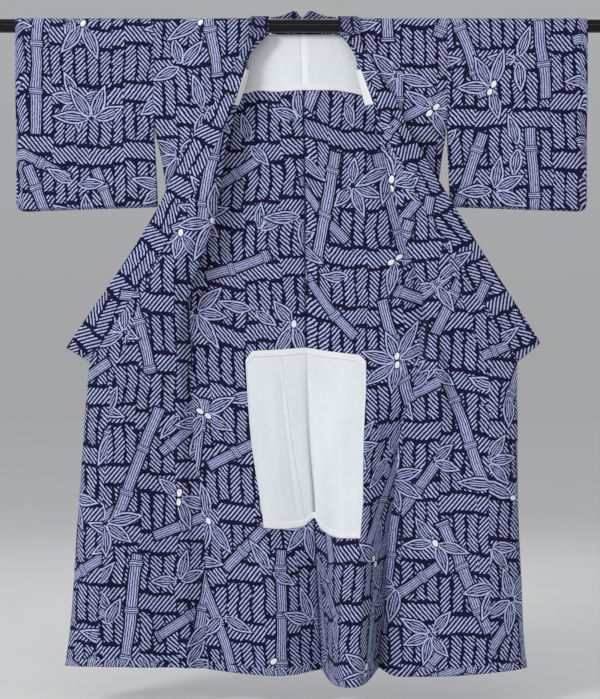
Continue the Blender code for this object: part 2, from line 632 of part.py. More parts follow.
def front_lining_rows(side):
    """The shoulder lining's front part: from the collar's seam over the rolled edge to the inside."""
    off = CLOTH_WALL / 2 + LINING_GAP + LINING_WALL / 2
    grid = front_rows(side)[WRAP_STEPS + 1 + len([drop for drop in DROPS if drop <= FLAT_TO]):]
    last = row_place(grid, 6, SHOULDER_LINING_FRONT_DROP)
    grid = moved_out(grid, -side, off)
    row_places = list(range(int(last) + 1)) + [last]
    return [[between(grid, i, j) for j in FRONT_LINING_COLUMNS] for i in row_places]


def clear_scene():
    for item in list(bpy.data.objects):
        bpy.data.objects.remove(item, do_unlink=True)


def make_material(name, colour, roughness, metallic=0.0):
    material = bpy.data.materials.new(name)
    material.use_nodes = True
    shader = material.node_tree.nodes["Principled BSDF"]
    shader.inputs["Base Color"].default_value = (*colour, 1.0)
    shader.inputs["Roughness"].default_value = roughness
    shader.inputs["Metallic"].default_value = metallic
    material.diffuse_color = (*colour, 1.0)
    return material


def sheet(name, rows, wall, material, collection, closed=False):
    """One piece of cloth: a grid of points joined by facets, with Solidify giving its wall."""
    form = bmesh.new()
    made = [[form.verts.new(p) if p is not None else None for p in row] for row in rows]
    for a, b in zip(made, made[1:]):
        count = len(a) if closed else len(a) - 1
        for j in range(count):
            corners = (a[j], a[(j + 1) % len(a)], b[(j + 1) % len(b)], b[j])
            if any(c is None for c in corners):
                continue
            form.faces.new((corners[0], corners[1], corners[2]))
            form.faces.new((corners[0], corners[2], corners[3]))
    bmesh.ops.delete(form, geom=[v for v in form.verts if not v.link_faces], context="VERTS")
    mesh = bpy.data.meshes.new(name)
    form.to_mesh(mesh)
    form.free()
    for polygon in mesh.polygons:
        polygon.use_smooth = True
    mesh.materials.append(material)
    piece = bpy.data.objects.new(name, mesh)
    collection.objects.link(piece)
    solidify = piece.modifiers.new("wall", "SOLIDIFY")
    solidify.thickness = wall
    solidify.offset = 0.0
    solidify.use_even_offset = False
    return piece


def make_rod(collection, material):
    bpy.ops.mesh.primitive_cylinder_add(
        vertices=ROD_SIDES, radius=ROD_RADIUS, depth=ROD_LENGTH, rotation=(0.0, math.pi / 2, 0.0))
    rod = bpy.context.object
    rod.name = "rod"
    rod.data.name = "rod"
    for other in list(rod.users_collection):
        other.objects.unlink(rod)
    collection.objects.link(rod)
    rod.data.materials.append(material)
    bevel = rod.modifiers.new("end_round", "BEVEL")
    bevel.width = ROD_END_ROUND
    bevel.segments = 1
    bevel.limit_method = "ANGLE"
    bevel.angle_limit = math.radians(40)
    return rod


def main():
    clear_scene()
    robe = bpy.data.collections.new("cotton_yukata_robe")
    bpy.context.scene.collection.children.link(robe)
    rod_finish = make_material("black_lacquer", (0.010, 0.010, 0.012), 0.25)
    make_rod(robe, rod_finish)
    for side, word in ((LEFT, "left"), (RIGHT, "right")):
        indigo = make_material(f"indigo_cotton_{word}", (0.10, 0.10, 0.22), 0.85)
        sheet(f"back_{word}", back_rows(side), CLOTH_WALL, indigo, robe)
        sheet(f"front_{word}", front_rows(side), CLOTH_WALL, indigo, robe)
        sheet(f"okumi_{word}", okumi_rows(side), CLOTH_WALL, indigo, robe)
        sheet(f"sleeve_{word}", sleeve_rows(side), CLOTH_WALL, indigo, robe, closed=True)
    collar = make_material("collar_cotton", (0.09, 0.09, 0.20), 0.85)
    sheet("collar", collar_rows(), COLLAR_WALL, collar, robe)
    white = make_material("white_lining_cotton", (0.80, 0.81, 0.82), 0.9)
    shoulder = back_lining_rows(SHOULDER_LINING_TOP, SHOULDER_LINING_HEM)
    sheet("shoulder_lining", shoulder, LINING_WALL, white, robe)
    for side, word in ((LEFT, "left"), (RIGHT, "right")):
        sheet(f"shoulder_lining_front_{word}", front_lining_rows(side), LINING_WALL, white, robe)
    seat = back_lining_rows(SEAT_LINING_TOP, SEAT_LINING_BOTTOM)
    sheet("seat_lining", seat, LINING_WALL, white, robe)


main()
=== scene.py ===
"""Looks of a cotton yukata robe hung wide open on a display rod.

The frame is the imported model's: metres, +Z up, the origin on the rod's axis half way along it, and -Y toward
the viewer.  "Left" and "right" are the viewer's, and a drop is a distance below the rod's axis.
Every cloth piece is the same surface as its solid, made finer, thinner and creased.
"""
import math
from functools import partial

import bmesh
import bpy
import numpy as np
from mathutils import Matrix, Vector


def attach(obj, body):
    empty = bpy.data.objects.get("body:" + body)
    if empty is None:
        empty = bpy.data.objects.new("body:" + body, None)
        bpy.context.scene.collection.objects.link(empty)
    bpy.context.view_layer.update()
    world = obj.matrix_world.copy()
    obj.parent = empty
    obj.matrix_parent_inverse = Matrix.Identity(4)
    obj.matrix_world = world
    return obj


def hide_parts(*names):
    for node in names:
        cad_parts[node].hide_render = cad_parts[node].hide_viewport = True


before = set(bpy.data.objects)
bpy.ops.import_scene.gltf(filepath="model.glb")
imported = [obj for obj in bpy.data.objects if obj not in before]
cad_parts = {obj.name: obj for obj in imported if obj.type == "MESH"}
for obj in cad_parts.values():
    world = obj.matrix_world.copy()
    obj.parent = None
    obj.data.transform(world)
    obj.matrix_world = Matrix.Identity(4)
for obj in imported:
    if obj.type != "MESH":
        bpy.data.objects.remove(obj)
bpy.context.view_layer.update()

# Driving sizes
ROD_RADIUS = 0.0172
ROD_LENGTH = 1.6
ROD_SIDES = 64
ROD_END_ROUND = 0.003
ROD_SHARP = math.radians(40)
CLOTH_WALL = 0.0007
LINING_WALL = 0.0005
COLLAR_WALL = 0.0018
SOLID_WALL = 0.0012
SOLID_LINING_WALL = 0.001
COLLAR_LIFT = 0.0017
COLLAR_CROWN = 0.0012
LINING_GAP = 0.0008
LINING_OFF = SOLID_WALL / 2 + LINING_GAP + SOLID_LINING_WALL / 2
CLOTH_OVER_ROD = 0.0013
FACET = 0.005
LINING_FACET = 0.0035

HEM_DROP = 1.605
HEM_SHAPE_FROM = 1.05
ARMHOLE_DROP = 0.23
SIDE_SEAM_FROM = 0.33
SLEEVE_DROP = 0.465
SLEEVE_CORNER = 0.022
SLEEVE_INNER_RISE = 0.012
SLEEVE_TAPER = 0.01
SLEEVE_LAYERS_APART = 0.0016
SLEEVE_FOLD_ROUND = 0.008
CUFF_OPENING = 0.24
CUFF_CLOSES_OVER = 0.06
CUFF_SHUT = 0.05
NECK_DROP = 0.0195
FLAT_TO = 0.075
STANDING_ROW = 4
OKUMI_TIP = 0.001
OKUMI_SWELL = 0.006
TUCK_GROWS = 0.12

DROPS = (0.0, 0.02, 0.045, 0.075, 0.093, 0.115, 0.16, 0.21, 0.265, 0.33, 0.395, 0.46, 0.525, 0.59, 0.65, 0.7,
         0.745, 0.79, 0.84, 0.9, 0.965, 1.035, 1.105, 1.18, 1.255, 1.33, 1.4, 1.47, 1.54, HEM_DROP)
WRAP_STEPS = 4
# Where the back's columns lie, as parts of its half width; None is the linings' edge
BACK_PARTS = (0.0, 0.11, 0.225, 0.38, None, 0.72, 0.86, 1.0)
NECK_COLUMN = 2
# The front's standing edge below the neck: how far in from the seam, and how far toward the viewer
STANDING_EDGE = ((0.0045, -0.0019), (0.0009, -0.0006), (-0.0006, 0.0012), (-0.0005, 0.0023),
                 (-0.0004, 0.0034), (-0.0003, 0.0045), (-0.0002, 0.0056))
STANDING_CLEAR = 0.0039
COLLAR_EDGE_BELOW = 0.012
FLAT_SHARES = (0.0, 0.33, 0.66, 0.968, 0.977, 0.983, 0.988, 0.992, 0.996, 1.0)
FLAT_LIFT_POWER = 3
UNDER_SHARES = (0.33, 0.66)
UNDER_BOW = 0.9
FACE_SHARES = (0.25, 0.5, 0.75, 1.0)
ROLL_DEPTH_RIDGED = 0.4
ROLL_DEPTH_FOLDED = 2.0
LINING_COLUMN = 4
# The front's columns that its lining follows, and the one along which the lining's length is measured
FRONT_LINING_COLUMNS = (1, 2, 3, 4, 5, 6, 7, 8, 8.7)
FRONT_LINING_MIDDLE = 6
VALLEY_FILL = 0.0008
NEAREST_ROW = 0.1
COLLAR_ACROSS = 6
# Okumi columns: part of the width where flat, part where its edge curls, share of the tuck
OKUMI_COLUMNS = ((0.0, 0.0, 0.0), (0.3, 0.4, 0.0), (0.6, 0.75, 0.04), (0.85, 1.0, 0.35), (1.0, 1.0, 1.0))
SLEEVE_STATIONS = (0.0, 0.2, 0.4, 0.6, 0.8)
SLEEVE_LOOP_DROPS = (0.0, 0.09, 0.18, 0.27, 0.36)
CORNER_STATIONS = (1.0, 0.55, 0.2, 0.0)
ARC_STEPS = 8

LEFT, RIGHT = -1, 1
WORD = {LEFT: "left", RIGHT: "right"}
CLOTH_RADIUS = ROD_RADIUS + CLOTH_OVER_ROD


def table(names, *rows):
    """Named columns against the first one: {"x": [(drop, x), ...], ...}."""
    names = names.split()
    return {name: [(row[0], row[place]) for row in rows] for place, name in enumerate(names)}


# Lines of the garment as they hang, each a short list of (drop, x)
CENTRE_SEAM = ((0.0, 0.0), (0.26, 0.005), (0.81, 0.01), (1.04, 0.018), (1.18, 0.03), (1.335, 0.036),
               (HEM_DROP, 0.05))
LINES = {
    LEFT: {
        "side": ((0.0, -0.37), (ARMHOLE_DROP, -0.37), (SIDE_SEAM_FROM, -0.352), (0.47, -0.33),
                 (0.6, -0.3), (0.7, -0.283), (0.83, -0.2775), (0.995, -0.2735), (1.14, -0.261),
                 (1.3, -0.2425), (HEM_DROP, -0.2375)),
        "roll": ((0.0, -0.081), (0.02, -0.081), (0.045, -0.101), (0.075, -0.124), (0.115, -0.133),
                 (0.16, -0.144), (0.206, -0.16), (0.316, -0.188), (0.474, -0.2125), (0.61, -0.257),
                 (0.684, -0.2865), (0.76, -0.304), (0.84, -0.311), (1.0, -0.312), (1.2, -0.305),
                 (HEM_DROP, -0.295)),
        "collar seam": ((0.0, -0.083), (0.02, -0.0835), (0.045, -0.105), (0.068, -0.1265),
                        (0.118, -0.1425), (0.2075, -0.17), (0.351, -0.234), (0.492, -0.297),
                        (0.553, -0.336), (0.84, -0.525)),
        "okumi seam": ((0.553, -0.336), (0.637, -0.3755), (0.682, -0.399), (0.741, -0.417),
                       (0.786, -0.432), (0.842, -0.4565), (0.884, -0.472), (0.92, -0.4755),
                       (1.03, -0.4775), (1.17, -0.492), (1.41, -0.497), (HEM_DROP, -0.511)),
        "front edge": ((0.84, -0.525), (0.934, -0.538), (1.034, -0.5465), (1.183, -0.5585),
                       (1.285, -0.567), (1.39, -0.5735), (1.515, -0.584), (HEM_DROP, -0.5965)),
        "collar edge": ((0.0275, -0.1295), (0.211, -0.2235), (0.3165, -0.2915), (0.457, -0.3555),
                        (0.805, -0.583)),
        "hem": ((0.0, 1.613), (0.33, 1.621), (0.66, 1.615), (1.0, 1.608)),
        "front hem": ((0.0, 1.607), (0.5, 1.6), (1.0, 1.593)),
        "okumi hem": ((0.0, 1.593), (1.0, 1.597)),
    },
    RIGHT: {
        "side": ((0.0, 0.3625), (ARMHOLE_DROP, 0.3625), (SIDE_SEAM_FROM, 0.35), (0.47, 0.332),
                 (0.6, 0.312), (0.7, 0.302), (0.8, 0.297), (0.91, 0.278), (1.01, 0.247),
                 (1.185, 0.23), (1.285, 0.215), (1.41, 0.2075), (HEM_DROP, 0.193)),
        "roll": ((0.0, 0.089), (0.02, 0.0895), (0.045, 0.107), (0.075, 0.126), (0.115, 0.136),
                 (0.16, 0.147), (0.206, 0.158), (0.304, 0.195), (0.3855, 0.2125), (0.455, 0.232),
                 (0.551, 0.2545), (0.61, 0.278), (0.662, 0.296), (0.74, 0.31), (0.84, 0.322),
                 (1.0, 0.312), (1.2, 0.287), (HEM_DROP, 0.252)),
        "collar seam": ((0.0, 0.091), (0.02, 0.092), (0.045, 0.112), (0.068, 0.1265), (0.146, 0.158),
                        (0.203, 0.1775), (0.272, 0.202), (0.514, 0.3315), (0.5435, 0.3495),
                        (0.84, 0.533)),
        "okumi seam": ((0.5435, 0.3495), (0.625, 0.3775), (0.682, 0.395), (0.736, 0.415),
                       (0.7905, 0.432), (0.84, 0.449), (0.909, 0.4615), (1.13, 0.4615), (1.33, 0.464),
                       (HEM_DROP, 0.469)),
        "front edge": ((0.84, 0.533), (0.972, 0.5375), (1.106, 0.54), (1.2155, 0.5425),
                       (1.39, 0.552), (1.514, 0.557), (HEM_DROP, 0.567)),
        "collar edge": ((0.0275, 0.1385), (0.119, 0.186), (0.177, 0.225), (0.239, 0.252),
                        (0.477, 0.39), (0.793, 0.59)),
        "hem": ((0.0, 1.613), (0.2, 1.639), (0.5, 1.637), (0.75, 1.632), (1.0, 1.608)),
        "front hem": ((0.0, 1.608), (0.25, 1.621), (0.7, 1.619), (1.0, 1.609)),
        "okumi hem": ((0.0, 1.609), (1.0, 1.602)),
    },
}
SLEEVE_X = {
    LEFT: {"seam": -0.3703, "free edge": -0.361, "cuff": -0.7140},
    RIGHT: {"seam": 0.3628, "free edge": 0.37, "cuff": 0.7120},
}

# How far back (+) or toward the viewer (-) the cloth hangs, one row for each drop
BACK_KNOTS = "centre inner outer side"
BACK_TOP = (
    (0.0, 0.0185, 0.0185, 0.0185, 0.0185),
    (ARMHOLE_DROP, 0.018, 0.018, 0.0175, 0.017),
    (SIDE_SEAM_FROM, 0.018, 0.017, 0.014, 0.006),
    (0.47, 0.0185, 0.015, 0.01, 0.004),
)
BACK_DEPTHS = {
    LEFT: table(
        "drop " + BACK_KNOTS,
        *BACK_TOP,
        (0.83, 0.022, 0.012, 0.006, 0.0),
        (1.2, 0.026, 0.0, -0.008, 0.0),
        (HEM_DROP, 0.032, -0.026, -0.03, 0.003),
    ),
    RIGHT: table(
        "drop " + BACK_KNOTS,
        *BACK_TOP,
        (0.83, 0.022, 0.006, 0.002, 0.004),
        (1.0, 0.024, -0.02, -0.022, 0.01),
        (1.2, 0.028, -0.05, -0.052, 0.018),
        (HEM_DROP, 0.034, -0.088, -0.09, 0.03),
    ),
}
FRONT_NAMES = "drop under roll fall seam edge"
FRONT_TOP = (
    (0.0, -0.0187, -0.019, -0.019, -0.019, -0.029),
    (0.02, -0.019, -0.019, -0.019, -0.019, -0.031),
    (0.045, -0.0195, -0.021, -0.022, -0.022, -0.035),
    (0.075, -0.0205, -0.024, -0.028, -0.028, -0.04),
    (0.115, -0.022, -0.035, -0.039, -0.04, -0.045),
    (0.21, -0.026, -0.052, -0.06, -0.062, -0.052),
)
FRONT_DEPTHS = {
    LEFT: table(
        FRONT_NAMES,
        *FRONT_TOP,
        (0.33, -0.028, -0.062, -0.072, -0.074, -0.06),
        (0.47, -0.028, -0.068, -0.08, -0.076, -0.06),
        (0.6, -0.025, -0.064, -0.076, -0.072, -0.058),
        (0.7, -0.023, -0.056, -0.068, -0.07, -0.056),
        (0.84, -0.02, -0.046, -0.056, -0.066, -0.05),
        (1.0, -0.012, -0.034, -0.05, -0.062, -0.04),
        (1.2, -0.008, -0.03, -0.048, -0.06, -0.03),
        (HEM_DROP, -0.008, -0.032, -0.05, -0.056, -0.016),
    ),
    RIGHT: table(
        FRONT_NAMES,
        *FRONT_TOP,
        (0.33, -0.028, -0.064, -0.074, -0.076, -0.06),
        (0.47, -0.028, -0.072, -0.084, -0.08, -0.06),
        (0.6, -0.025, -0.07, -0.082, -0.076, -0.058),
        (0.7, -0.023, -0.064, -0.07, -0.072, -0.056),
        (0.84, -0.02, -0.06, -0.046, -0.066, -0.05),
        (1.0, -0.014, -0.054, -0.04, -0.062, -0.04),
        (1.2, -0.008, -0.044, -0.046, -0.06, -0.03),
        (HEM_DROP, -0.006, -0.044, -0.052, -0.056, -0.016),
    ),
}
# The front is folded flat on itself above the last fold drops, and only ridged below them
FOLD = table(
    "drop radius turn",
    (0.0, 0.0028, 1.0),
    (0.093, 0.0028, 1.0),
    (0.115, 0.0038, 1.0),
    (0.16, 0.0065, 1.0),
    (0.21, 0.008, 1.0),
    (0.33, 0.01, 1.0),
    (0.6, 0.01, 1.0),
    (0.7, 0.01, 0.75),
    (0.79, 0.011, 0.25),
    (0.9, 0.012, 0.0),
    (HEM_DROP, 0.014, 0.0),
)
# The front edge tucks back behind itself below the collar's end
TUCK = table(
    "drop inward back",
    (0.8, 0.001, 0.003),
    (0.86, 0.002, 0.008),
    (0.95, 0.006, 0.02),
    (1.2, 0.012, 0.03),
    (HEM_DROP, 0.014, 0.034),
)
# The collar round the neck, from the centre of the back to the front of the left shoulder
COLLAR_NECK = table(
    "place seam_x seam_y seam_z edge_x edge_y edge_z",
    (0, 0.0, 0.0188, -0.0186, 0.001, 0.0235, 0.025),
    (1, -0.009, 0.0188, -0.0186, -0.008, 0.026, 0.033),
    (2, -0.018, 0.0188, -0.0186, -0.018, 0.028, 0.042),
    (3, -0.038, 0.0188, -0.0186, -0.04, 0.0285, 0.034),
    (4, -0.06, 0.019, -0.0184, -0.058, 0.028, 0.028),
    (5, -0.0767, 0.0212, -0.0158, -0.0789, 0.0321, 0.0261),
    (6, -0.0783, 0.022, -0.0103, -0.0797, 0.0331, 0.022),
    (7, -0.0793, 0.023, 0.0029, -0.0891, 0.0303, 0.0247),
    (8, -0.0836, 0.0119, 0.0192, -0.1134, 0.0115, 0.0209),
    (9, -0.082, -0.005, 0.0228, -0.123, 0.0, 0.0232),
    (10, -0.082, -0.018, 0.013, -0.129, -0.015, 0.018),
    (11, -0.083, -0.0222, 0.0, -0.132, -0.0265, 0.001),
    (12, -0.085, -0.0235, -0.019, -0.132, -0.031, -0.022),
)
COLLAR_NECK_SPREAD = {LEFT: 1.0, RIGHT: 1.095}

SHOULDER_LINING_FRONT_DROP = 0.204
# The drops that a lining is made between, and its top and bottom edges as (column, drop)
SHOULDER_LINING = {
    "between": (0.0196, 0.185),
    "top": ((0, 0.0196), (8, 0.0196)),
    "bottom": ((0, 0.172), (1, 0.166), (1.5, 0.16), (2.3, 0.1625), (4, 0.159), (5.9, 0.159), (6.7, 0.165),
               (7.2, 0.171), (8, 0.176)),
}
SEAT_LINING = {
    "between": (0.8, 1.29),
    "top": ((0, 0.836), (0.38, 0.8127), (4, 0.804), (7.6, 0.8226), (8, 0.8387)),
    "bottom": ((0, 1.2528), (1.6, 1.2577), (3, 1.2528), (4, 1.233), (4.2, 1.238), (4.86, 1.26),
               (6.85, 1.275), (8, 1.275)),
}
LINING_HEM = 0.018
LINING_SIDE_HEM = 0.005
CLOTH_HEM = 0.02
LINING_PART = {
    LEFT: ((0.0, 0.55), (0.3, 0.55), (0.81, 0.53), (1.05, 0.5), (1.27, 0.46), (HEM_DROP, 0.5)),
    RIGHT: ((0.0, 0.55), (0.3, 0.55), (0.81, 0.53), (1.05, 0.6), (1.27, 0.6), (HEM_DROP, 0.56)),
}

# Creases laid in one by one, in three groups of layers: depth toward the viewer (+) or away (-), half width,
# and the line that the crease follows as (x, drop) points.  They fade out toward both ends.
CREASES = {
    "back": (
        (-0.0034, 0.007, ((0.004, 0.17), (0.006, 0.4), (0.009, 0.62), (0.01, 0.81))),
        (-0.003, 0.008, ((0.012, 0.86), (0.02, 1.06), (0.032, 1.24))),
        (-0.0034, 0.009, ((0.036, 1.27), (0.042, 1.45), (0.05, 1.61))),
        (-0.0035, 0.01, ((-0.245, 0.8), (-0.232, 0.95), (-0.228, 1.1), (-0.221, 1.2))),
        (0.0022, 0.016, ((-0.21, 0.86), (-0.205, 1.05), (-0.196, 1.25))),
        (-0.0016, 0.004, ((-0.056, 0.83), (-0.045, 0.96), (-0.031, 1.08), (-0.005, 1.27))),
        (0.0014, 0.012, ((-0.075, 0.86), (-0.066, 1.0), (-0.05, 1.16))),
        (-0.002, 0.012, ((-0.13, 0.3), (-0.12, 0.42), (-0.135, 0.55))),
        (0.0018, 0.018, ((-0.085, 0.24), (-0.078, 0.4), (-0.09, 0.6))),
        (-0.0018, 0.012, ((0.11, 0.26), (0.12, 0.38), (0.112, 0.52))),
        (0.0018, 0.018, ((0.065, 0.3), (0.072, 0.46), (0.06, 0.66))),
        (-0.0024, 0.01, ((0.19, 0.52), (0.214, 0.62), (0.236, 0.74))),
        (-0.002, 0.012, ((-0.15, 1.22), (-0.13, 1.4), (-0.125, 1.58))),
        (0.0022, 0.018, ((-0.075, 1.28), (-0.06, 1.42), (-0.055, 1.6))),
        (-0.0022, 0.01, ((0.112, 1.3), (0.118, 1.45), (0.122, 1.6))),
        (-0.0016, 0.01, ((0.23, 0.88), (0.205, 1.02), (0.19, 1.2))),
        (0.0012, 0.006, ((0.055, 0.98), (0.11, 0.985), (0.15, 0.975))),
        (-0.0008, 0.005, ((0.03, 1.03), (0.085, 1.05), (0.14, 1.055))),
        (0.0014, 0.01, ((-0.135, 0.17), (-0.145, 0.24), (-0.17, 0.34))),
        (-0.0016, 0.009, ((-0.1, 0.68), (-0.05, 0.72), (0.0, 0.735))),
        (-0.0014, 0.009, ((0.15, 0.7), (0.1, 0.74), (0.04, 0.75))),
    ),
    "front": (
        (-0.004, 0.01, ((-0.462, 1.3), (-0.455, 1.4), (-0.448, 1.52), (-0.446, 1.6))),
        (0.003, 0.02, ((-0.41, 1.1), (-0.405, 1.3), (-0.398, 1.6))),
        (-0.0025, 0.014, ((-0.36, 0.98), (-0.352, 1.2), (-0.345, 1.44), (-0.34, 1.6))),
        (0.0026, 0.016, ((-0.285, 0.56), (-0.318, 0.72), (-0.345, 0.88), (-0.352, 1.04))),
        (-0.003, 0.01, ((-0.235, 0.42), (-0.262, 0.55), (-0.3, 0.68), (-0.33, 0.8))),
        (0.002, 0.014, ((-0.18, 0.24), (-0.205, 0.36), (-0.238, 0.48))),
        (-0.0022, 0.009, ((-0.175, 0.215), (-0.2, 0.3), (-0.222, 0.36))),
        (-0.0018, 0.01, ((-0.395, 0.72), (-0.38, 0.86), (-0.385, 1.02))),
        (0.002, 0.016, ((-0.44, 0.94), (-0.436, 1.1), (-0.446, 1.26))),
        (-0.0015, 0.006, ((-0.52, 0.96), (-0.528, 1.14), (-0.538, 1.36))),
        (0.0014, 0.008, ((-0.5, 0.48), (-0.43, 0.58), (-0.36, 0.62))),
        (-0.006, 0.013, ((0.33, 0.76), (0.366, 0.85), (0.378, 0.93), (0.402, 0.97), (0.4, 1.02))),
        (0.0034, 0.014, ((0.3, 0.72), (0.338, 0.84), (0.35, 0.95), (0.362, 1.06))),
        (-0.0028, 0.012, ((0.268, 0.5), (0.292, 0.6), (0.322, 0.7))),
        (-0.0024, 0.01, ((0.196, 0.26), (0.222, 0.36), (0.252, 0.46))),
        (0.0022, 0.016, ((0.225, 0.3), (0.262, 0.42), (0.31, 0.56))),
        (-0.0024, 0.014, ((0.318, 1.1), (0.306, 1.28), (0.292, 1.46), (0.28, 1.6))),
        (0.0028, 0.02, ((0.372, 1.12), (0.366, 1.32), (0.352, 1.6))),
        (-0.0022, 0.014, ((0.42, 1.12), (0.418, 1.34), (0.412, 1.6))),
        (0.0018, 0.01, ((0.445, 0.92), (0.436, 1.04), (0.44, 1.18))),
        (-0.0016, 0.007, ((0.505, 0.98), (0.508, 1.18), (0.518, 1.44))),
        (0.0016, 0.008, ((0.54, 0.66), (0.47, 0.68), (0.4, 0.62))),
    ),
    "sleeve face": (
        (-0.0024, 0.01, ((-0.64, 0.04), (-0.632, 0.16), (-0.64, 0.3))),
        (0.0022, 0.018, ((-0.585, 0.05), (-0.578, 0.2), (-0.59, 0.4))),
        (-0.002, 0.013, ((-0.52, 0.1), (-0.5, 0.24), (-0.505, 0.44))),
        (-0.003, 0.01, ((-0.41, 0.12), (-0.392, 0.24), (-0.384, 0.36))),
        (0.0024, 0.014, ((-0.44, 0.2), (-0.424, 0.32), (-0.42, 0.44))),
        (0.0014, 0.01, ((-0.7, 0.34), (-0.62, 0.37), (-0.54, 0.42))),
        (-0.0034, 0.008, ((0.378, 0.15), (0.366, 0.22), (0.352, 0.29))),
        (0.0022, 0.014, ((0.41, 0.12), (0.4, 0.24), (0.404, 0.4))),
        (-0.002, 0.012, ((0.47, 0.06), (0.476, 0.2), (0.466, 0.42))),
        (0.0022, 0.018, ((0.545, 0.05), (0.552, 0.22), (0.54, 0.42))),
        (-0.0022, 0.01, ((0.63, 0.08), (0.622, 0.2), (0.632, 0.38))),
        (0.0014, 0.009, ((0.7, 0.3), (0.64, 0.34), (0.57, 0.4))),
        (-0.002, 0.01, ((-0.3, 0.06), (-0.27, 0.16), (-0.262, 0.24))),
        (0.0016, 0.014, ((-0.34, 0.08), (-0.322, 0.18), (-0.318, 0.28))),
        (-0.002, 0.01, ((0.29, 0.06), (0.272, 0.14), (0.276, 0.24))),
        (0.0018, 0.014, ((0.33, 0.06), (0.318, 0.17), (0.322, 0.26))),
    ),
    "sleeve behind": (
        (0.0022, 0.012, ((-0.62, 0.05), (-0.612, 0.22), (-0.622, 0.4))),
        (-0.002, 0.016, ((-0.54, 0.08), (-0.548, 0.26), (-0.536, 0.43))),
        (0.0018, 0.012, ((-0.45, 0.12), (-0.462, 0.26), (-0.452, 0.42))),
        (0.002, 0.012, ((0.6, 0.06), (0.592, 0.2), (0.604, 0.4))),
        (-0.002, 0.016, ((0.52, 0.07), (0.514, 0.25), (0.524, 0.42))),
        (0.0018, 0.012, ((0.43, 0.1), (0.44, 0.24), (0.432, 0.42))),
    ),
}
# Slow unevenness of all hanging cloth: height, radians a metre along x and along the drop, and first angle
RIPPLES = ((0.0011, 23.0, 3.1, 0.4), (0.0008, 41.0, -7.3, 1.9), (0.0006, 13.0, 17.0, 0.7),
           (0.0004, -67.0, 29.0, 2.6))
CREASE_STRENGTH = 1.4
CREASES_FROM = 0.03
CREASES_FULL = 0.1

COTTON_INK = (0.0062, 0.005, 0.026)
COTTON_PALE = (0.272, 0.302, 0.6)
COTTON_BRIGHT = (0.55, 0.6, 0.9)
COTTON_WHITE = (0.86, 0.88, 0.96)
LINING_WHITE = (0.91, 0.94, 0.99)
LINING_HEM_WHITE = (0.97, 0.98, 1.0)
LACQUER = (0.0015, 0.0015, 0.002)
# The floor, from its darkest to its lightest
FLOOR_TONES = ((0.67, 0.67, 0.66), (0.71, 0.71, 0.7))
# Where the print begins on a piece, in cloth metres
PRINT_AT = {"back": (0.11, 0.0), "front": (0.11, 1.66), "okumi": (0.83, 0.37), "sleeve": (0.47, 0.62),
            "hem": (0.53, 0.93), "okumi hem": (0.21, 0.55)}
RIGHT_PRINT_SHIFT = (1.3, 0.09)
COLLAR_PRINT_SHIFT = (2.21, 0.05)
# Front columns, counted in its section's points, between which its creases change from inside to face
UNDER_COLUMNS = (2.2, 3.2)
FACE_COLUMNS = (4.0, 5.0)
FRONT_HEM_COLUMN = 5.3
SLEEVE_TURN_COLUMNS = 1.5
LINING_UNDER_COLUMNS = (1.2, 2.2)
LINING_FACE_COLUMNS = (3.0, 4.0)
# A hem's second layer: how many walls it lies off the cloth, and how many its free edge is let down
HEM_OFF = 1.15
HEM_DOWN = 0.6
# Where a lining's cloth is doubled or seamed, as (u, half width, brightness)
SHOULDER_BANDS = ((0.0045, 0.008, 0.12), (-0.0042, 0.0008, -0.24))
SEAT_BANDS = ((0.0, 0.001, -0.3),)
# The seat lining's pressed crease, drawn as a dent and a line of painted shade, and the painted shadow down
# its centre valley
SEAT_CREASE = (-0.063, 0.072, 0.0006)
SEAT_VALLEY_SHADOW = (0.0045, 0.05, 1.5)
# Painted shade on the collar at the back of the neck, where its inside also shows the print's darker wrong
# side, as (v, half length, share), and its soft end
COLLAR_PAINTED_SHADE = (0.0, 0.24, 0.55)
PAINTED_SHADE_FADES = 0.14
# The dark line along the centre-back seam, partly the seam's own dark edge and partly painted shade of its
# valley: half width, soft edge and share
SEAM_DARK = 0.0035
SEAM_FADES = 0.005
SEAM_SHARE = 0.8
# The lining's doubled bands and pressed crease, as soft edges in metres, tone and height; the crease's tone is
# painted shade
BAND_EDGE = 0.0008
BAND_HEIGHT = 1.5
CREASE_EDGE = 0.001
CREASE_PAINTED_SHADE = 0.26
CREASE_DEPTH = 2.5
COTTON_THREAD = 0.0011
LINING_THREAD = 0.0013
WEAVE_DEPTH = 0.0002
THREAD_WANDER = {"scale": 260.0, "reach": 0.6}
THREAD_HEIGHT = 0.5
UNEVEN_HEIGHT = {"scale": 90.0, "reach": 1.2}
# Tones of the white cotton: threads that are thicker in places, slow clouds and the rest
SLUB_SCALE = (700.0, 30.0)
SLUB_TONE = 0.15
CLOUD_SCALE = (16.0, 4.0)
CLOUD_TONE = 0.14
PLAIN_TONE = 0.66
# Soft edge of the seat lining's painted valley shadow, in its half widths
VALLEY_SHADOW_FADES = 2.2
# The dye: how much lighter the ground is where worn, how a stroke's dots turn bright, and how strong it is
INK_WORN = 1.8
WORN_SCALE = 11.0
DOT_BRIGHT = {"factor": 1.3, "from": 0.4}
DYE = {"dots": 0.85, "worn": 0.26, "least": 0.24}
DOT_EDGE = 1.9
# The rod's lacquer: long streaks, how much lighter they are, and its roughness from dark to light
STREAKS = (1.5, 40.0, 40.0)
STREAK_SCALE = 6.0
STREAK_LIGHTER = 2.5
LACQUER_ROUGH = (0.14, 0.30)

CAMERA_DISTANCE = 5.0
CAMERA_CENTRE = (-0.005, -0.809)
VIEW_HEIGHT = 1.7475
SENSOR = 36.0
FLOOR_DROP = 1.7
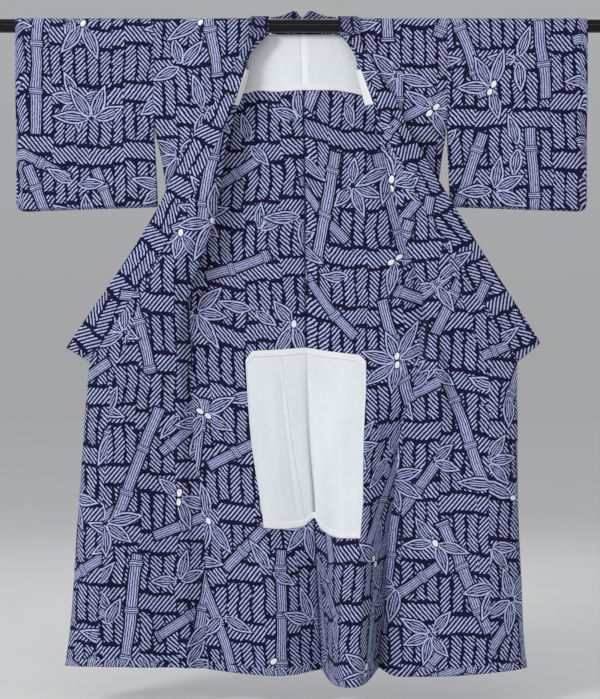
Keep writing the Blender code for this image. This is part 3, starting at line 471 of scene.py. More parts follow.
# Soft lights: name, place, the point aimed at, size and watts
LIGHTS = (
    ("key", (-4.5, -6.0, 3.0), (0.0, 0.0, -0.8), (2.0, 2.0), 305.0),
    ("front", (0.2, -5.5, 1.2), (0.0, 0.0, -0.4), (4.0, 0.5), 32.0),
    ("behind", (0.5, 3.0, 1.8), (0.0, 0.0, -0.6), (3.0, 2.0), 40.0),
)
SKY_LOW = (0.37, 0.375, 0.385)
SKY_HIGH = (0.61, 0.62, 0.64)


def hermite(t, span, y0, y1, slope0, slope1):
    """The cubic between two points with given slopes, for numbers or arrays; t is 0 to 1."""
    return ((1 + 2 * t) * (1 - t) ** 2 * y0 + t * (1 - t) ** 2 * span * slope0
            + t * t * (3 - 2 * t) * y1 + t * t * (t - 1) * span * slope1)


def smooth(points, at):
    """Value at `at` on a smooth line through points that never overshoots them."""
    if at <= points[0][0]:
        return points[0][1]
    if at >= points[-1][0]:
        return points[-1][1]
    place = next(i for i in range(1, len(points)) if at <= points[i][0])
    (x0, y0), (x1, y1) = points[place - 1], points[place]
    span = x1 - x0
    return hermite((at - x0) / span, span, y0, y1, slope(points, place - 1), slope(points, place))


def slope(points, place):
    """Slope at one point, level where the line turns back."""
    steps = []
    for i in (place, place + 1):
        if 1 <= i < len(points):
            steps.append((points[i][1] - points[i - 1][1]) / (points[i][0] - points[i - 1][0]))
    if len(steps) == 1:
        return steps[0]
    if steps[0] * steps[1] <= 0:
        return 0.0
    return 2 * steps[0] * steps[1] / (steps[0] + steps[1])


def mix(a, b, t):
    return a + (b - a) * t


def ease(t):
    """From 0 to 1 with a soft start and end, for a number or an array."""
    t = np.clip(t, 0.0, 1.0)
    return t * t * (3 - 2 * t)


def line_x(side, name, drop):
    return smooth(LINES[side][name], drop)


def hem_shift(side, name, part, drop):
    """How much lower than its nominal drop a point hangs, so that the hem has its real line."""
    shift = smooth(LINES[side][name], part) - HEM_DROP
    return shift * ease((drop - HEM_SHAPE_FROM) / (HEM_DROP - HEM_SHAPE_FROM))


def curve_through(knots, at):
    """Rounder than smooth(): the folds of the cloth may swell a little past the knots."""
    place = max(1, min(len(knots) - 1, sum(1 for k in knots if k[0] < at)))
    points = [knots[min(max(i, 0), len(knots) - 1)] for i in range(place - 2, place + 2)]
    (xa, ya), (x0, y0), (x1, y1), (xb, yb) = points
    span = x1 - x0
    return hermite((at - x0) / span, span, y0, y1, (y1 - ya) / (x1 - xa), (yb - y0) / (xb - x0))


def back_depth(side, part, drop):
    knots = [(i / 3, smooth(BACK_DEPTHS[side][name], drop)) for i, name in enumerate(BACK_KNOTS.split())]
    return curve_through(knots, part)


def back_point(side, part, drop):
    x = mix(smooth(CENTRE_SEAM, drop), line_x(side, "side", drop), part)
    return Vector((x, back_depth(side, part, drop), -drop - hem_shift(side, "hem", part, drop)))


def over_rod(x, angle):
    """A point on the cloth where it lies over the rod; angle 0 is behind it and pi in front."""
    return Vector((x, CLOTH_RADIUS * math.cos(angle), CLOTH_RADIUS * math.sin(angle)))


def back_row(side, drop):
    parts = [smooth(LINING_PART[side], drop) if part is None else part for part in BACK_PARTS]
    return [back_point(side, part, drop) for part in parts]


def hanging_back_rows(side):
    """The back from its hem up to the neck's edge behind the rod."""
    return [back_row(side, drop) for drop in reversed(DROPS) if drop > NECK_DROP + 0.01] + [
        back_row(side, NECK_DROP)]


def back_rows(side):
    """All of the back; the columns before the neck's edge end at the first of the wrapped rows."""
    rows = hanging_back_rows(side)
    xs = [point.x for point in back_row(side, 0.0)]
    xs[NECK_COLUMN] = line_x(side, "collar seam", 0.0)
    for step in range(WRAP_STEPS + 1):
        rows.append([over_rod(x, math.pi / 2 * step / WRAP_STEPS) for x in xs])
    return rows


def side_edge_depth(side, drop):
    """The front's side edge: on the sleeve's seam, and lower down on the back's side edge."""
    behind = smooth(BACK_DEPTHS[side]["side"], drop)
    before = -smooth(BACK_DEPTHS[side]["side"], min(drop, ARMHOLE_DROP))
    return mix(before, behind, ease((drop - ARMHOLE_DROP) / (SIDE_SEAM_FROM - ARMHOLE_DROP)))


def side_drops(side):
    """The rows' drops, with one more where the okumi begins."""
    return sorted(DROPS + (LINES[side]["okumi seam"][0][0],))


def front_seam_x(side, drop):
    """Where the front panel ends: at the collar, and below the collar's crossing at the okumi."""
    seam = LINES[side]["okumi seam"]
    name = "collar seam" if drop <= seam[0][0] else "okumi seam"
    return line_x(side, name, drop)


def front_section(side, drop):
    """(x, y) control points of the front panel at one drop, from its side edge to its seam."""
    depth = {name: smooth(points, drop) for name, points in FRONT_DEPTHS[side].items()}
    radius = smooth(FOLD["radius"], drop)
    turn = smooth(FOLD["turn"], drop)
    roll_x = line_x(side, "roll", drop)
    seam_x = front_seam_x(side, drop)
    side_x = line_x(side, "side", drop)
    side_y = side_edge_depth(side, drop)
    behind_x = roll_x + side * radius * (2 * turn - 1)
    behind_y = depth["roll"] + radius * mix(ROLL_DEPTH_RIDGED, ROLL_DEPTH_FOLDED, turn)
    face_of_roll = (roll_x + side * radius, depth["roll"])
    bow = UNDER_BOW * (depth["under"] - mix(side_y, behind_y, 0.5))
    points = [(side_x, side_y)]
    for t in UNDER_SHARES:
        points.append((mix(side_x, behind_x, t), mix(side_y, behind_y, t) + bow))
    points += [(behind_x, behind_y), (roll_x, depth["roll"] + radius * turn), face_of_roll]
    knots = [(0.0, depth["roll"]), (0.5, depth["fall"]), (1.0, depth["seam"])]
    for t in FACE_SHARES:
        points.append((mix(face_of_roll[0], seam_x, t), curve_through(knots, t)))
    return points


def flat_section(side, drop):
    """The same points where the panel is plain cloth from the side edge to the neck's edge."""
    side_x = line_x(side, "side", drop)
    neck_x = line_x(side, "collar seam", drop)
    return [mix(side_x, neck_x, share) for share in FLAT_SHARES]


def standing_row(side, drop):
    """Between the flat and the folded rows the panel's edge stands up toward the viewer."""
    side_x = line_x(side, "side", drop)
    stand_x = line_x(side, "collar seam", drop) - side * SOLID_WALL
    base_y = smooth(FRONT_DEPTHS[side]["roll"], drop)
    row = []
    for share in (0.0, *UNDER_SHARES):
        row.append(Vector((mix(side_x, stand_x, share), mix(-CLOTH_RADIUS, base_y, share), -drop)))
    for inward, out in STANDING_EDGE:
        row.append(Vector((stand_x + side * inward, base_y - out, -drop)))
    return row


def front_rows(side):
    rows = []
    for step in range(WRAP_STEPS + 1):
        angle = math.pi / 2 * (1 + step / WRAP_STEPS)
        rows.append([over_rod(x, angle) for x in flat_section(side, 0.0)])
    for drop in [drop for drop in DROPS if 0.0 < drop <= FLAT_TO]:
        last_y = smooth(FRONT_DEPTHS[side]["seam"], drop)
        ys = [mix(-CLOTH_RADIUS, last_y, share ** FLAT_LIFT_POWER) for share in FLAT_SHARES]
        rows.append([Vector((x, y, -drop)) for x, y in zip(flat_section(side, drop), ys)])
    rows.append(standing_row(side, DROPS[STANDING_ROW]))
    for drop in side_drops(side)[STANDING_ROW + 1:]:
        row = []
        points = front_section(side, drop)
        for place, (x, y) in enumerate(points):
            part = place / (len(points) - 1)
            row.append(Vector((x, y, -drop - hem_shift(side, "front hem", part, drop))))
        rows.append(row)
    return rows


def okumi_rows(side):
    end = LINES[side]["collar seam"][-1][0]
    tip = LINES[side]["okumi seam"][0][0]
    rows = []
    for drop in [tip + OKUMI_TIP] + [d for d in DROPS if d > tip]:
        seam_x = line_x(side, "okumi seam", drop)
        below = ease((drop - end) / TUCK_GROWS)
        edge_x = line_x(side, "front edge" if drop > end else "collar seam", drop)
        seam_y = smooth(FRONT_DEPTHS[side]["seam"], drop)
        edge_y = lapel_depth(side, edge_x, drop)
        inward, back = smooth(TUCK["inward"], drop) * below, smooth(TUCK["back"], drop) * below
        row = []
        for flat_part, curled_part, tucked in OKUMI_COLUMNS:
            part = mix(flat_part, curled_part, below)
            x = mix(seam_x, edge_x, part) - side * inward * tucked
            y = mix(seam_y, edge_y, part) - OKUMI_SWELL * below * math.sin(math.pi * part) + back * tucked
            row.append(Vector((x, y, -drop - hem_shift(side, "okumi hem", part, drop))))
        rows.append(row)
    return rows


def lapel_depth(side, x, drop):
    """Depth of the turned-out front between its seam and the outer edge."""
    seam_x = front_seam_x(side, drop)
    end = LINES[side]["collar edge"][-1][0]
    outer_x = line_x(side, "collar edge" if drop < end else "front edge", drop)
    part = min(max((x - seam_x) / (outer_x - seam_x), 0.0), 1.0)
    return mix(smooth(FRONT_DEPTHS[side]["seam"], drop), smooth(FRONT_DEPTHS[side]["edge"], drop), part)


def lapel_point(side, name, drop):
    """A point of the collar's seam or free edge down one front."""
    x = line_x(side, name, drop)
    if name == "collar edge":
        return Vector((x, smooth(FRONT_DEPTHS[side]["edge"], drop), -drop))
    return Vector((x, lapel_depth(side, x, drop), -drop))


def neck_station(side, row):
    """The collar's seam point and free edge point at one place round the neck."""
    ends = []
    for line in ("seam", "edge"):
        x, y, z = (COLLAR_NECK[f"{line}_{axis}"][row][1] for axis in "xyz")
        ends.append(Vector((x * -side * COLLAR_NECK_SPREAD[side], y, z)))
    return ends


def collar_half(side):
    """(seam point, free edge point) pairs from the centre of the neck to the collar's end."""
    pairs = [neck_station(side, row) for row in range(len(COLLAR_NECK["place"]))]
    seam_from, seam_to = DROPS[2], LINES[side]["collar seam"][-1][0]
    edge_from, edge_to = (LINES[side]["collar edge"][place][0] for place in (0, -1))
    for drop in [d for d in side_drops(side) if seam_from <= d <= seam_to]:
        share = (drop - seam_from) / (seam_to - seam_from)
        seam = lapel_point(side, "collar seam", drop)
        edge = lapel_point(side, "collar edge", mix(edge_from + COLLAR_EDGE_BELOW, edge_to, share))
        if drop <= FLAT_TO:
            seam.y -= COLLAR_LIFT
        elif drop == DROPS[STANDING_ROW]:
            seam.x += side * STANDING_CLEAR
        pairs.append((seam, edge))
    return pairs


def collar_rows():
    pairs = list(reversed(collar_half(LEFT)))[:-1] + collar_half(RIGHT)
    rows = []
    for seam, edge in pairs:
        row = []
        for i in range(COLLAR_ACROSS + 1):
            t = i / COLLAR_ACROSS
            row.append(seam.lerp(edge, t) - Vector((0.0, COLLAR_CROWN * math.sin(math.pi * t), 0.0)))
        rows.append(row)
    return rows


def sleeve_half_depth(drop, shut):
    """Half the distance between a sleeve's two layers; shut is 1 where it hangs open."""
    depth = smooth(BACK_DEPTHS[LEFT]["side"], min(drop, ARMHOLE_DROP))
    depth -= SLEEVE_TAPER * max(0.0, drop - ARMHOLE_DROP)
    closing = ease((drop - CUFF_OPENING) / CUFF_CLOSES_OVER + 0.5)
    return max(depth * mix(1.0, shut, closing), SLEEVE_LAYERS_APART / 2)


def sleeve_loop(bottom, shut):
    """(y, z) points round one sleeve: up its back, over the rod and down its front, closed at its foot."""
    drops = SLEEVE_LOOP_DROPS + (bottom - SLEEVE_FOLD_ROUND,)
    down = [(sleeve_half_depth(drop, shut), -drop) for drop in drops]
    arc = []
    for step in range(1, ARC_STEPS):
        angle = math.pi * step / ARC_STEPS
        arc.append((CLOTH_RADIUS * math.cos(angle), CLOTH_RADIUS * math.sin(angle)))
    foot = [(0.0, -bottom)]
    return foot + list(reversed(down)) + arc + [(-y, z) for y, z in down] + foot


def sleeve_rows(side):
    """Loops from the armhole's seam to the cuff, whose lower corner is round."""
    x = SLEEVE_X[side]
    reach = abs(x["cuff"] - x["seam"])
    straight = reach - SLEEVE_CORNER
    stations = [(part * straight, 1.0) for part in SLEEVE_STATIONS]
    for left_over in CORNER_STATIONS:
        stations.append((reach - SLEEVE_CORNER * left_over, mix(CUFF_SHUT, 1.0, left_over)))
    rows = []
    for along, shut in stations:
        past = max(along - straight, 0.0)
        lift = SLEEVE_CORNER - math.sqrt(max(SLEEVE_CORNER ** 2 - past ** 2, 0.0))
        bottom = SLEEVE_DROP - SLEEVE_INNER_RISE * (1 - along / reach) - lift
        row = []
        for y, z in sleeve_loop(bottom, shut):
            start = mix(x["seam"], x["free edge"], ease((-z - ARMHOLE_DROP) / (SLEEVE_DROP - ARMHOLE_DROP)))
            row.append(Vector((mix(start, x["cuff"], along / reach), y, z)))
        rows.append(row)
    return rows


def neighbour(rows, i, j):
    if 0 <= i < len(rows) and 0 <= j < len(rows[i]):
        return rows[i][j]
    return None


def between(rows, i, j):
    """A point part way between the points of a grid, on its flat facets."""
    i0, j0 = min(int(i), len(rows) - 2), min(int(j), len(rows[0]) - 2)
    s, t = i - i0, j - j0
    first = rows[i0][j0].lerp(rows[i0][j0 + 1], t)
    if s == 0:
        return first
    return first.lerp(rows[i0 + 1][j0].lerp(rows[i0 + 1][j0 + 1], t), s)


def moved_out(rows, toward, distance):
    """The grid moved along its normals, to the side that `toward` points at."""
    out = []
    for i, row in enumerate(rows):
        line = []
        for j, point in enumerate(row):
            up = neighbour(rows, i + 1, j) or point
            down = neighbour(rows, i - 1, j) or point
            right = neighbour(rows, i, j + 1) or point
            left = neighbour(rows, i, j - 1) or point
            line.append(point + (right - left).cross(up - down).normalized() * (distance * toward))
        out.append(line)
    return out


def row_place(rows, column, drop):
    """Fractional row where a grid's column reaches a drop; rows run upward or downward."""
    for i in range(len(rows) - 1):
        a, b = -rows[i][column].z, -rows[i + 1][column].z
        if min(a, b) <= drop <= max(a, b):
            return i + (drop - a) / (b - a)
    raise ValueError(drop)


def back_lining_rows(top, bottom):
    """A lining over the centre seam between two drops, from both back panels' points moved to the viewer."""
    grids, ends = {}, {}
    for side in (LEFT, RIGHT):
        hanging = hanging_back_rows(side)
        grids[side] = moved_out(hanging, side, LINING_OFF)
        ends[side] = [row_place(hanging, 1, drop) for drop in (bottom, top)]
    first = math.ceil(max(ends[LEFT][0], ends[RIGHT][0]) + NEAREST_ROW)
    last = math.floor(min(ends[LEFT][1], ends[RIGHT][1]) - NEAREST_ROW)
    inner = range(first, last + 1)
    rows = []
    for k in range(len(inner) + 2):
        left_place, right_place = (ends[side][0 if k == 0 else 1] for side in (LEFT, RIGHT))
        if 0 < k <= len(inner):
            left_place = right_place = inner[k - 1]
        left = [between(grids[LEFT], left_place, j) for j in range(LINING_COLUMN, -1, -1)]
        right = [between(grids[RIGHT], right_place, j) for j in range(LINING_COLUMN + 1)]
        rows.append(left[:-1] + [mitre(left, right)] + right[1:])
    return rows


def mitre(left, right):
    """Where the two halves of a lining meet over the valley of the centre seam."""
    middle = left[-1].lerp(right[0], 0.5)
    slopes = [abs((b.y - middle.y) / (b.x - middle.x)) for b in (left[-2], right[1])]
    return middle - Vector((0.0, VALLEY_FILL * max(slopes), 0.0))


def front_lining_rows(side):
    """The shoulder lining's front part: from the collar's seam over the rolled edge to the inside."""
    flat_rows = WRAP_STEPS + 1 + len([drop for drop in DROPS if drop <= FLAT_TO])
    grid = front_rows(side)[flat_rows:]
    last = row_place(grid, FRONT_LINING_MIDDLE, SHOULDER_LINING_FRONT_DROP)
    grid = moved_out(grid, -side, LINING_OFF)
    row_places = list(range(int(last) + 1)) + [last]
    return [[between(grid, i, j) for j in FRONT_LINING_COLUMNS] for i in row_places]


def refined(values, at, counts):
    """A grid's rows at finer places, on smooth lines that never overshoot the rows they pass through."""
    rise = np.diff(values, axis=0) / np.diff(at)[:, None, None]
    slopes = np.empty_like(values)
    slopes[0], slopes[-1] = rise[0], rise[-1]
    product, total = rise[:-1] * rise[1:], rise[:-1] + rise[1:]
    slopes[1:-1] = np.where(product > 0, 2 * product / np.where(product > 0, total, 1.0), 0.0)
    index = np.append(np.repeat(np.arange(len(counts)), counts), len(counts) - 1)
    t = np.append(np.concatenate([np.arange(count) / count for count in counts]), 1.0)
    span = np.diff(at)[index][:, None, None]
    places = index + t
    t = t[:, None, None]
    return hermite(t, span, values[index], values[index + 1], slopes[index], slopes[index + 1]), places


def finer_rows(grid, facet, first=0):
    """The grid with more rows, and the coarse row at each of them."""
    lengths = np.linalg.norm(np.diff(grid, axis=0), axis=2)
    at = np.concatenate(([0.0], np.cumsum(np.maximum(lengths.mean(axis=1), 1e-5))))
    counts = np.maximum(np.ceil(lengths.max(axis=1) / facet), 1).astype(int)
    fine, places = refined(grid, at, counts)
    return fine, places + first


def fine_grid(rows, facet, fold=None):
    """The grid with facets of about one size, with the coarse grid's row and column at each place.

    It keeps a sharp fold along one column, such as where a lining crosses the centre seam."""
    grid, rows_at = finer_rows(np.array([[tuple(point) for point in row] for row in rows]), facet)
    grid = grid.transpose(1, 0, 2)
    if fold is None:
        grid, columns_at = finer_rows(grid, facet)
    else:
        before, before_at = finer_rows(grid[:fold + 1], facet)
        after, after_at = finer_rows(grid[fold:], facet, fold)
        grid = np.concatenate((before[:-1], after))
        columns_at = np.concatenate((before_at[:-1], after_at))
    return grid.transpose(1, 0, 2), rows_at, columns_at


def trimmed(grid, columns_at, lining, facet):
    """Each column, from the top down, cut to the lining's own top and bottom edges."""
    tops = np.interp(columns_at, *zip(*lining["top"]))
    bottoms = [smooth(lining["bottom"], at) for at in columns_at]
    count = math.ceil((max(bottoms) - min(tops)) / facet) + 1
    columns = []
    for column, top, bottom in zip(grid[::-1].transpose(1, 0, 2), tops, bottoms):
        drops = np.linspace(top, bottom, count)
        x = np.interp(drops, -column[:, 2], column[:, 0])
        y = np.interp(drops, -column[:, 2], column[:, 1])
        columns.append(np.stack((x, y, -drops), axis=1))
    return np.stack(columns, axis=1)


def to_line(x, drop, path):
    """Distance from each point to a line of points, and how far along the line its foot lies, 0 to 1."""
    path = np.array(path)
    lengths = np.linalg.norm(np.diff(path, axis=0), axis=1)
    starts = np.concatenate(([0.0], np.cumsum(lengths)))
    best = np.full(x.shape, np.inf)
    along = np.zeros(x.shape)
    for a, b, length, start in zip(path, path[1:], lengths, starts):
        step = (b - a) / length
        t = np.clip((x - a[0]) * step[0] + (drop - a[1]) * step[1], 0.0, length)
        away = np.hypot(x - a[0] - step[0] * t, drop - a[1] - step[1] * t)
        nearer = away < best
        best = np.where(nearer, away, best)
        along = np.where(nearer, (start + t) / starts[-1], along)
    return best, along


def crease_height(x, drop, group):
    """How far the creases of a group lift the cloth toward the viewer."""
    height = np.zeros(x.shape)
    for depth, width, path in CREASES[group]:
        away, along = to_line(x, drop, path)
        height += depth * np.exp(-(away / width) ** 2) * np.sqrt(np.sin(np.pi * along).clip(0.0, 1.0))
    return height


def ripple_height(x, drop):
    """Slow unevenness, the same on every layer so that the layers stay apart."""
    height = np.zeros(x.shape)
    for size, across, down, start in RIPPLES:
        height += size * np.sin(across * x + down * drop + start)
    return height


def creased(grid, shares):
    """The grid with its creases; shares gives how much of each group's creases a column takes."""
    x, drop = grid[:, :, 0], -grid[:, :, 2]
    height = ripple_height(x, drop)
    for group, share in shares.items():
        height = height + crease_height(x, drop, group) * share * CREASE_STRENGTH
    grid = grid.copy()
    grid[:, :, 1] -= height * ease((drop - CREASES_FROM) / (CREASES_FULL - CREASES_FROM))
    return grid


def cloth_lengths(grid, middle):
    """Cloth coordinates in metres: along each row from its middle column, and down each column."""
    across = np.linalg.norm(np.diff(grid, axis=1), axis=2)
    down = np.linalg.norm(np.diff(grid, axis=0), axis=2)
    u = np.concatenate((np.zeros((grid.shape[0], 1)), np.cumsum(across, axis=1)), axis=1)
    v = np.concatenate((np.zeros((1, grid.shape[1])), np.cumsum(down, axis=0)), axis=0)
    return u - u[:, middle:middle + 1], v


def front_lengths(grid):
    """Cloth coordinates of a front panel: across it as seen from the front, and down it from the rod."""
    x, y, z = grid.transpose(2, 0, 1)
    return x, np.where(z > 0, -CLOTH_RADIUS * np.arctan2(z, -y), -z)


def okumi_lengths(grid, side):
    """Cloth coordinates of an okumi: along each row from where its seam lies, and straight down."""
    across, _ = cloth_lengths(grid, 0)
    return grid[:, :1, 0] + side * across, -grid[:, :, 2]


def collar_lengths(grid, centre_row):
    """Cloth coordinates of the collar: away from its seam, and along the seam from the back of the neck."""
    seam = grid[:, 0]
    along = np.concatenate(([0.0], np.cumsum(np.linalg.norm(np.diff(seam, axis=0), axis=1))))
    along -= along[centre_row]
    tangent = np.gradient(seam, axis=0)
    tangent /= np.linalg.norm(tangent, axis=1)[:, None]
    away = grid - seam[:, None]
    forward = (away * tangent[:, None]).sum(axis=2)
    beside = np.sqrt(np.maximum((away ** 2).sum(axis=2) - forward ** 2, 0.0))
    return beside, along[:, None] + forward


def shell(name, grid, wall, material, keep=None, offset=(0.0, 0.0), turned=False, closed=False, middle=0,
          lengths=None):
    """A thin piece of cloth from a fine grid, with cloth metres as its UV map."""
    rows, columns = grid.shape[:2]
    u, v = cloth_lengths(grid, middle) if lengths is None else lengths
    if turned:
        u, v = v, u
    uv = np.stack((u + offset[0], v + offset[1]), axis=2).reshape(-1, 2)
    i, j = np.meshgrid(np.arange(rows - 1), np.arange(columns - 1), indexing="ij")
    corner = (i * columns + j).ravel()
    quads = np.stack((corner, corner + 1, corner + columns + 1, corner + columns), axis=1)
    if keep is not None:
        quads = quads[keep.ravel()]
    mesh = bpy.data.meshes.new(name)
    mesh.from_pydata(grid.reshape(-1, 3).tolist(), [], quads.tolist())
    layer = mesh.uv_layers.new(name="cloth")
    layer.data.foreach_set("uv", uv[quads.ravel()].astype(np.float32).ravel())
    mesh.polygons.foreach_set("use_smooth", [True] * len(quads))
    form = bmesh.new()
    form.from_mesh(mesh)
    bmesh.ops.delete(form, geom=[vert for vert in form.verts if not vert.link_faces], context="VERTS")
    if closed:
        bmesh.ops.remove_doubles(form, verts=form.verts, dist=1e-6)
    form.to_mesh(mesh)
    form.free()
    mesh.materials.append(material)
    piece = bpy.data.objects.new(name, mesh)
    bpy.context.scene.collection.objects.link(piece)
    solidify = piece.modifiers.new("wall", "SOLIDIFY")
    solidify.thickness = wall
    solidify.offset = 0.0
    solidify.use_even_offset = False
    return piece


def dress(piece, slot, *nodes):
    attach(piece, "root")
    if nodes:
        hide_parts(*nodes)
    return piece


class Value:
    """A number or vector that a shader works out; arithmetic on it adds math nodes to its tree."""

    def __init__(self, tree, socket):
        self.tree = tree
        self.socket = socket

    def __add__(self, other):
        return maths("ADD", self, other)

    def __sub__(self, other):
        return maths("SUBTRACT", self, other)

    def __rsub__(self, other):
        return maths("SUBTRACT", other, self)

    def __mul__(self, other):
        return maths("MULTIPLY", self, other)

    def __truediv__(self, other):
        return maths("DIVIDE", self, other)

    __radd__ = __add__
    __rmul__ = __mul__


def new_node(tree, kind, **settings):
    made = tree.nodes.new(kind)
    for name, value in settings.items():
        setattr(made, name, value)
    return made


def put(socket, value):
    if isinstance(value, Value):
        value.tree.links.new(value.socket, socket)
    else:
        socket.default_value = value


def node_value(kind, inputs, output=0, **settings):
    """One node in the tree of its inputs, and one of its outputs."""
    tree = next(value.tree for value in inputs.values() if isinstance(value, Value))
    made = new_node(tree, kind, **settings)
    for name, value in inputs.items():
        put(made.inputs[name], value)
    return Value(tree, made.outputs[output])


def maths(operation, *values, clamp=False):
    return node_value("ShaderNodeMath", dict(enumerate(values)), operation=operation, use_clamp=clamp)


floor, fract, absolute, sign, sine, cosine, root = (
    partial(maths, name) for name in ("FLOOR", "FRACT", "ABSOLUTE", "SIGN", "SINE", "COSINE", "SQRT"))
least, most, below, above, power, direction, remainder, times_plus = (
    partial(maths, name) for name in ("MINIMUM", "MAXIMUM", "LESS_THAN", "GREATER_THAN", "POWER", "ARCTAN2",
                                      "FLOORED_MODULO", "MULTIPLY_ADD"))


def within(distance, softness):
    """1 where distance is negative and 0 where it is positive, with a soft edge."""
    return times_plus(distance, -1.0 / softness, 0.5, clamp=True)


def vector(x, y, z=0.0):
    return node_value("ShaderNodeCombineXYZ", {0: x, 1: y, 2: z})


def split(place):
    made = new_node(place.tree, "ShaderNodeSeparateXYZ")
    put(made.inputs[0], place)
    return [Value(place.tree, socket) for socket in made.outputs]


def noise(place, scale, detail=1.0):
    return node_value("ShaderNodeTexNoise", {"Vector": place, "Scale": scale, "Detail": detail}, "Fac")


def random(x, y, z):
    """Three even random numbers, 0 to 1, for a cell."""
    cell = {"Vector": vector(x, y, z)}
    return split(node_value("ShaderNodeTexWhiteNoise", cell, "Color", noise_dimensions="3D"))


def colour(a, b, share):
    """The colour a where share is 0 and b where it is 1."""
    a, b = ((*end, 1.0) if isinstance(end, tuple) else end for end in (a, b))
    return node_value("ShaderNodeMix", {0: share, 6: a, 7: b}, 2, data_type="RGBA")


# The print, in cloth metres; pairs of numbers are for u and v, and a bare number in random() is its seed
SOFT = 0.0009
EDGE_WOBBLE = {"scale": 75.0, "reach": (0.0034, -0.0030)}
DRIFT = {"scale": 9.0, "reach": (0.014, -0.008)}
STROKE_PITCH = 0.0082
STROKE_SHARE = 0.208
STROKE_UNEVEN = {"scale": 120.0, "spread": 0.16}
STROKE_END = 0.0020
END_SPREAD = 0.0050
SHORT_SLANT = (0.78, 0.70)
SHORT_TURNED = 0.20
LONG_SLANT = (0.74, 0.62)
LONG_TURNED = 0.62
ROW_PITCH = 0.148
ROW_SHARE = 0.33
ROW_LINE = 0.0046
ROW_JUMP = 0.45
ROW_WANDER = 0.22
WANDER_SCALE = (4.0, 1.0)
ROW_STEP = 0.075
STRIP_PITCH = 0.0310
STRIP_LINE = 0.0031
STRIP_SWAY = 1.1
SWAY_SCALE = (3.0, 7.0)
STRIPS_A_BLOCK = 3
POLES = (
    {"seed": 63.1, "cell": (0.235, 0.235), "half width": 0.0108, "half length": 0.086, "joint": 0.094,
     "line": 0.0054, "least tilt": 0.55, "tilt spread": 0.75, "missing": 0.35, "shift": (0.061, 0.0366)},
    {"seed": 21.7, "cell": (0.176, 0.370), "half width": 0.0118, "half length": 0.148, "joint": 0.118,
     "line": 0.0059, "least tilt": -0.42, "tilt spread": 0.84, "missing": 0.10, "shift": (0.037, 0.0222)},
)
POLE_MARGIN = 0.0052
POLE_WANDER = 0.03
POLE_LINES_THINNER = 0.07
KNOT_HALF = 0.0072
KNOT_WIDER = 0.0036
KNOT_EDGE = 0.0002
RING_HALF = 0.0013
CLUSTERS = (
    {"seed": 47.9, "cell": 0.214, "leaves": 7, "length": 0.084, "half width": 0.0142, "missing": 0.66,
     "shift": (0.083, 0.0581), "budding": 0.10},
    {"seed": 11.3, "cell": 0.252, "leaves": 7, "length": 0.101, "half width": 0.0158, "missing": 0.50,
     "shift": (0.0, 0.0), "budding": 0.50},
)
LEAF_START = 0.006
LEAF_MARGIN = 0.0038
LEAF_RIM = 0.0040
LEAF_GAP = 0.0072
LEAF_LINE = 0.0056
LEAF_LINES_THINNER = 0.02
LEAF_WIDEST = 0.78
LEAF_SKEW = 0.16
LEAF_SHORTEST = 0.74
CLUSTER_TURN = 7.0
BEADS_A_METRE = 340.0
BUD_HALF = (0.0092, 0.0062)
BUD_APART = 0.0115
BUD_RIM = 0.0022
BUD_TURN = 6.0
BUDS_SINGLE = 0.4


def fade(a, b, share):
    """a where share is 0 and b where it is 1."""
    return (b - a) * share + a


def spread(luck, width):
    """A random number as a place within a width, on either side of its middle."""
    return luck * width - width / 2


def cell_of(u, v, shift, size, seed):
    """Cell numbers, the place inside the cell in metres from its middle, and three random numbers."""
    across, down = (u + shift[0]) / size[0], (v + shift[1]) / size[1]
    column, row = floor(across), floor(down)
    x, y = (across - column - 0.5) * size[0], (down - row - 0.5) * size[1]
    return column, row, x, y, random(column, row, seed)


def turned_place(x, y, angle):
    c, s = cosine(angle), sine(angle)
    return x * c + y * s, y * c - x * s


def line_gap(place, share, pitch):
    """Distance to the edge of the nearest of many parallel lines; place counts them."""
    return (absolute(fract(place + 0.5) - 0.5) - share) * pitch


def rounded(a, b, radius):
    """Distance to a rounded corner from the distances to its two edges; negative inside."""
    a, b = most(a + radius, 0.0), most(b + radius, 0.0)
    return root(a * a + b * b) - radius


def slanted(u, v, slant, lean, start):
    """Counts slanted strokes; lean is 1 or -1."""
    return (u * lean * slant[0] - v * slant[1]) / STROKE_PITCH + start


def hatched_ground(u, v, uneven):
    """Rows of long slanted strokes that step up and down, and between them upright strips of short ones."""
    sway = noise(vector(u * SWAY_SCALE[0], v * SWAY_SCALE[1], 4.0), 1.0)
    strips = u / STRIP_PITCH + sway * STRIP_SWAY
    strip, block = floor(strips), floor(strips / STRIPS_A_BLOCK)
    wander = noise(vector(u * WANDER_SCALE[0], v * WANDER_SCALE[1]), 1.0)
    rows = v / ROW_PITCH + random(block, 3.1, 0.7)[0] * ROW_JUMP + wander * ROW_WANDER
    rows = rows + random(strip, 5.3, 1.9)[0] * ROW_STEP
    row = floor(rows)
    t, s = rows - row, strips - strip
    in_row = below(t, ROW_SHARE)
    row_gap = ROW_LINE - least(least(t, 1.0 - t), absolute(t - ROW_SHARE)) * ROW_PITCH
    strip_gap = STRIP_LINE - least(s, 1.0 - s) * STRIP_PITCH - in_row
    luck, row_luck = random(strip, row, 3.7), random(row, block, 8.1)
    short = slanted(u, v, SHORT_SLANT, sign(luck[0] - SHORT_TURNED), luck[1])
    long = slanted(u, v, LONG_SLANT, sign(row_luck[0] - LONG_TURNED), row_luck[1])
    place = fade(short, long, in_row)
    ragged = spread(random(floor(place + 0.5), strip, row)[0], END_SPREAD)
    end_gap = most(row_gap, strip_gap) + ragged * (1.0 - in_row * 0.5)
    return within(rounded(line_gap(place, uneven, STROKE_PITCH), end_gap, STROKE_END), SOFT)


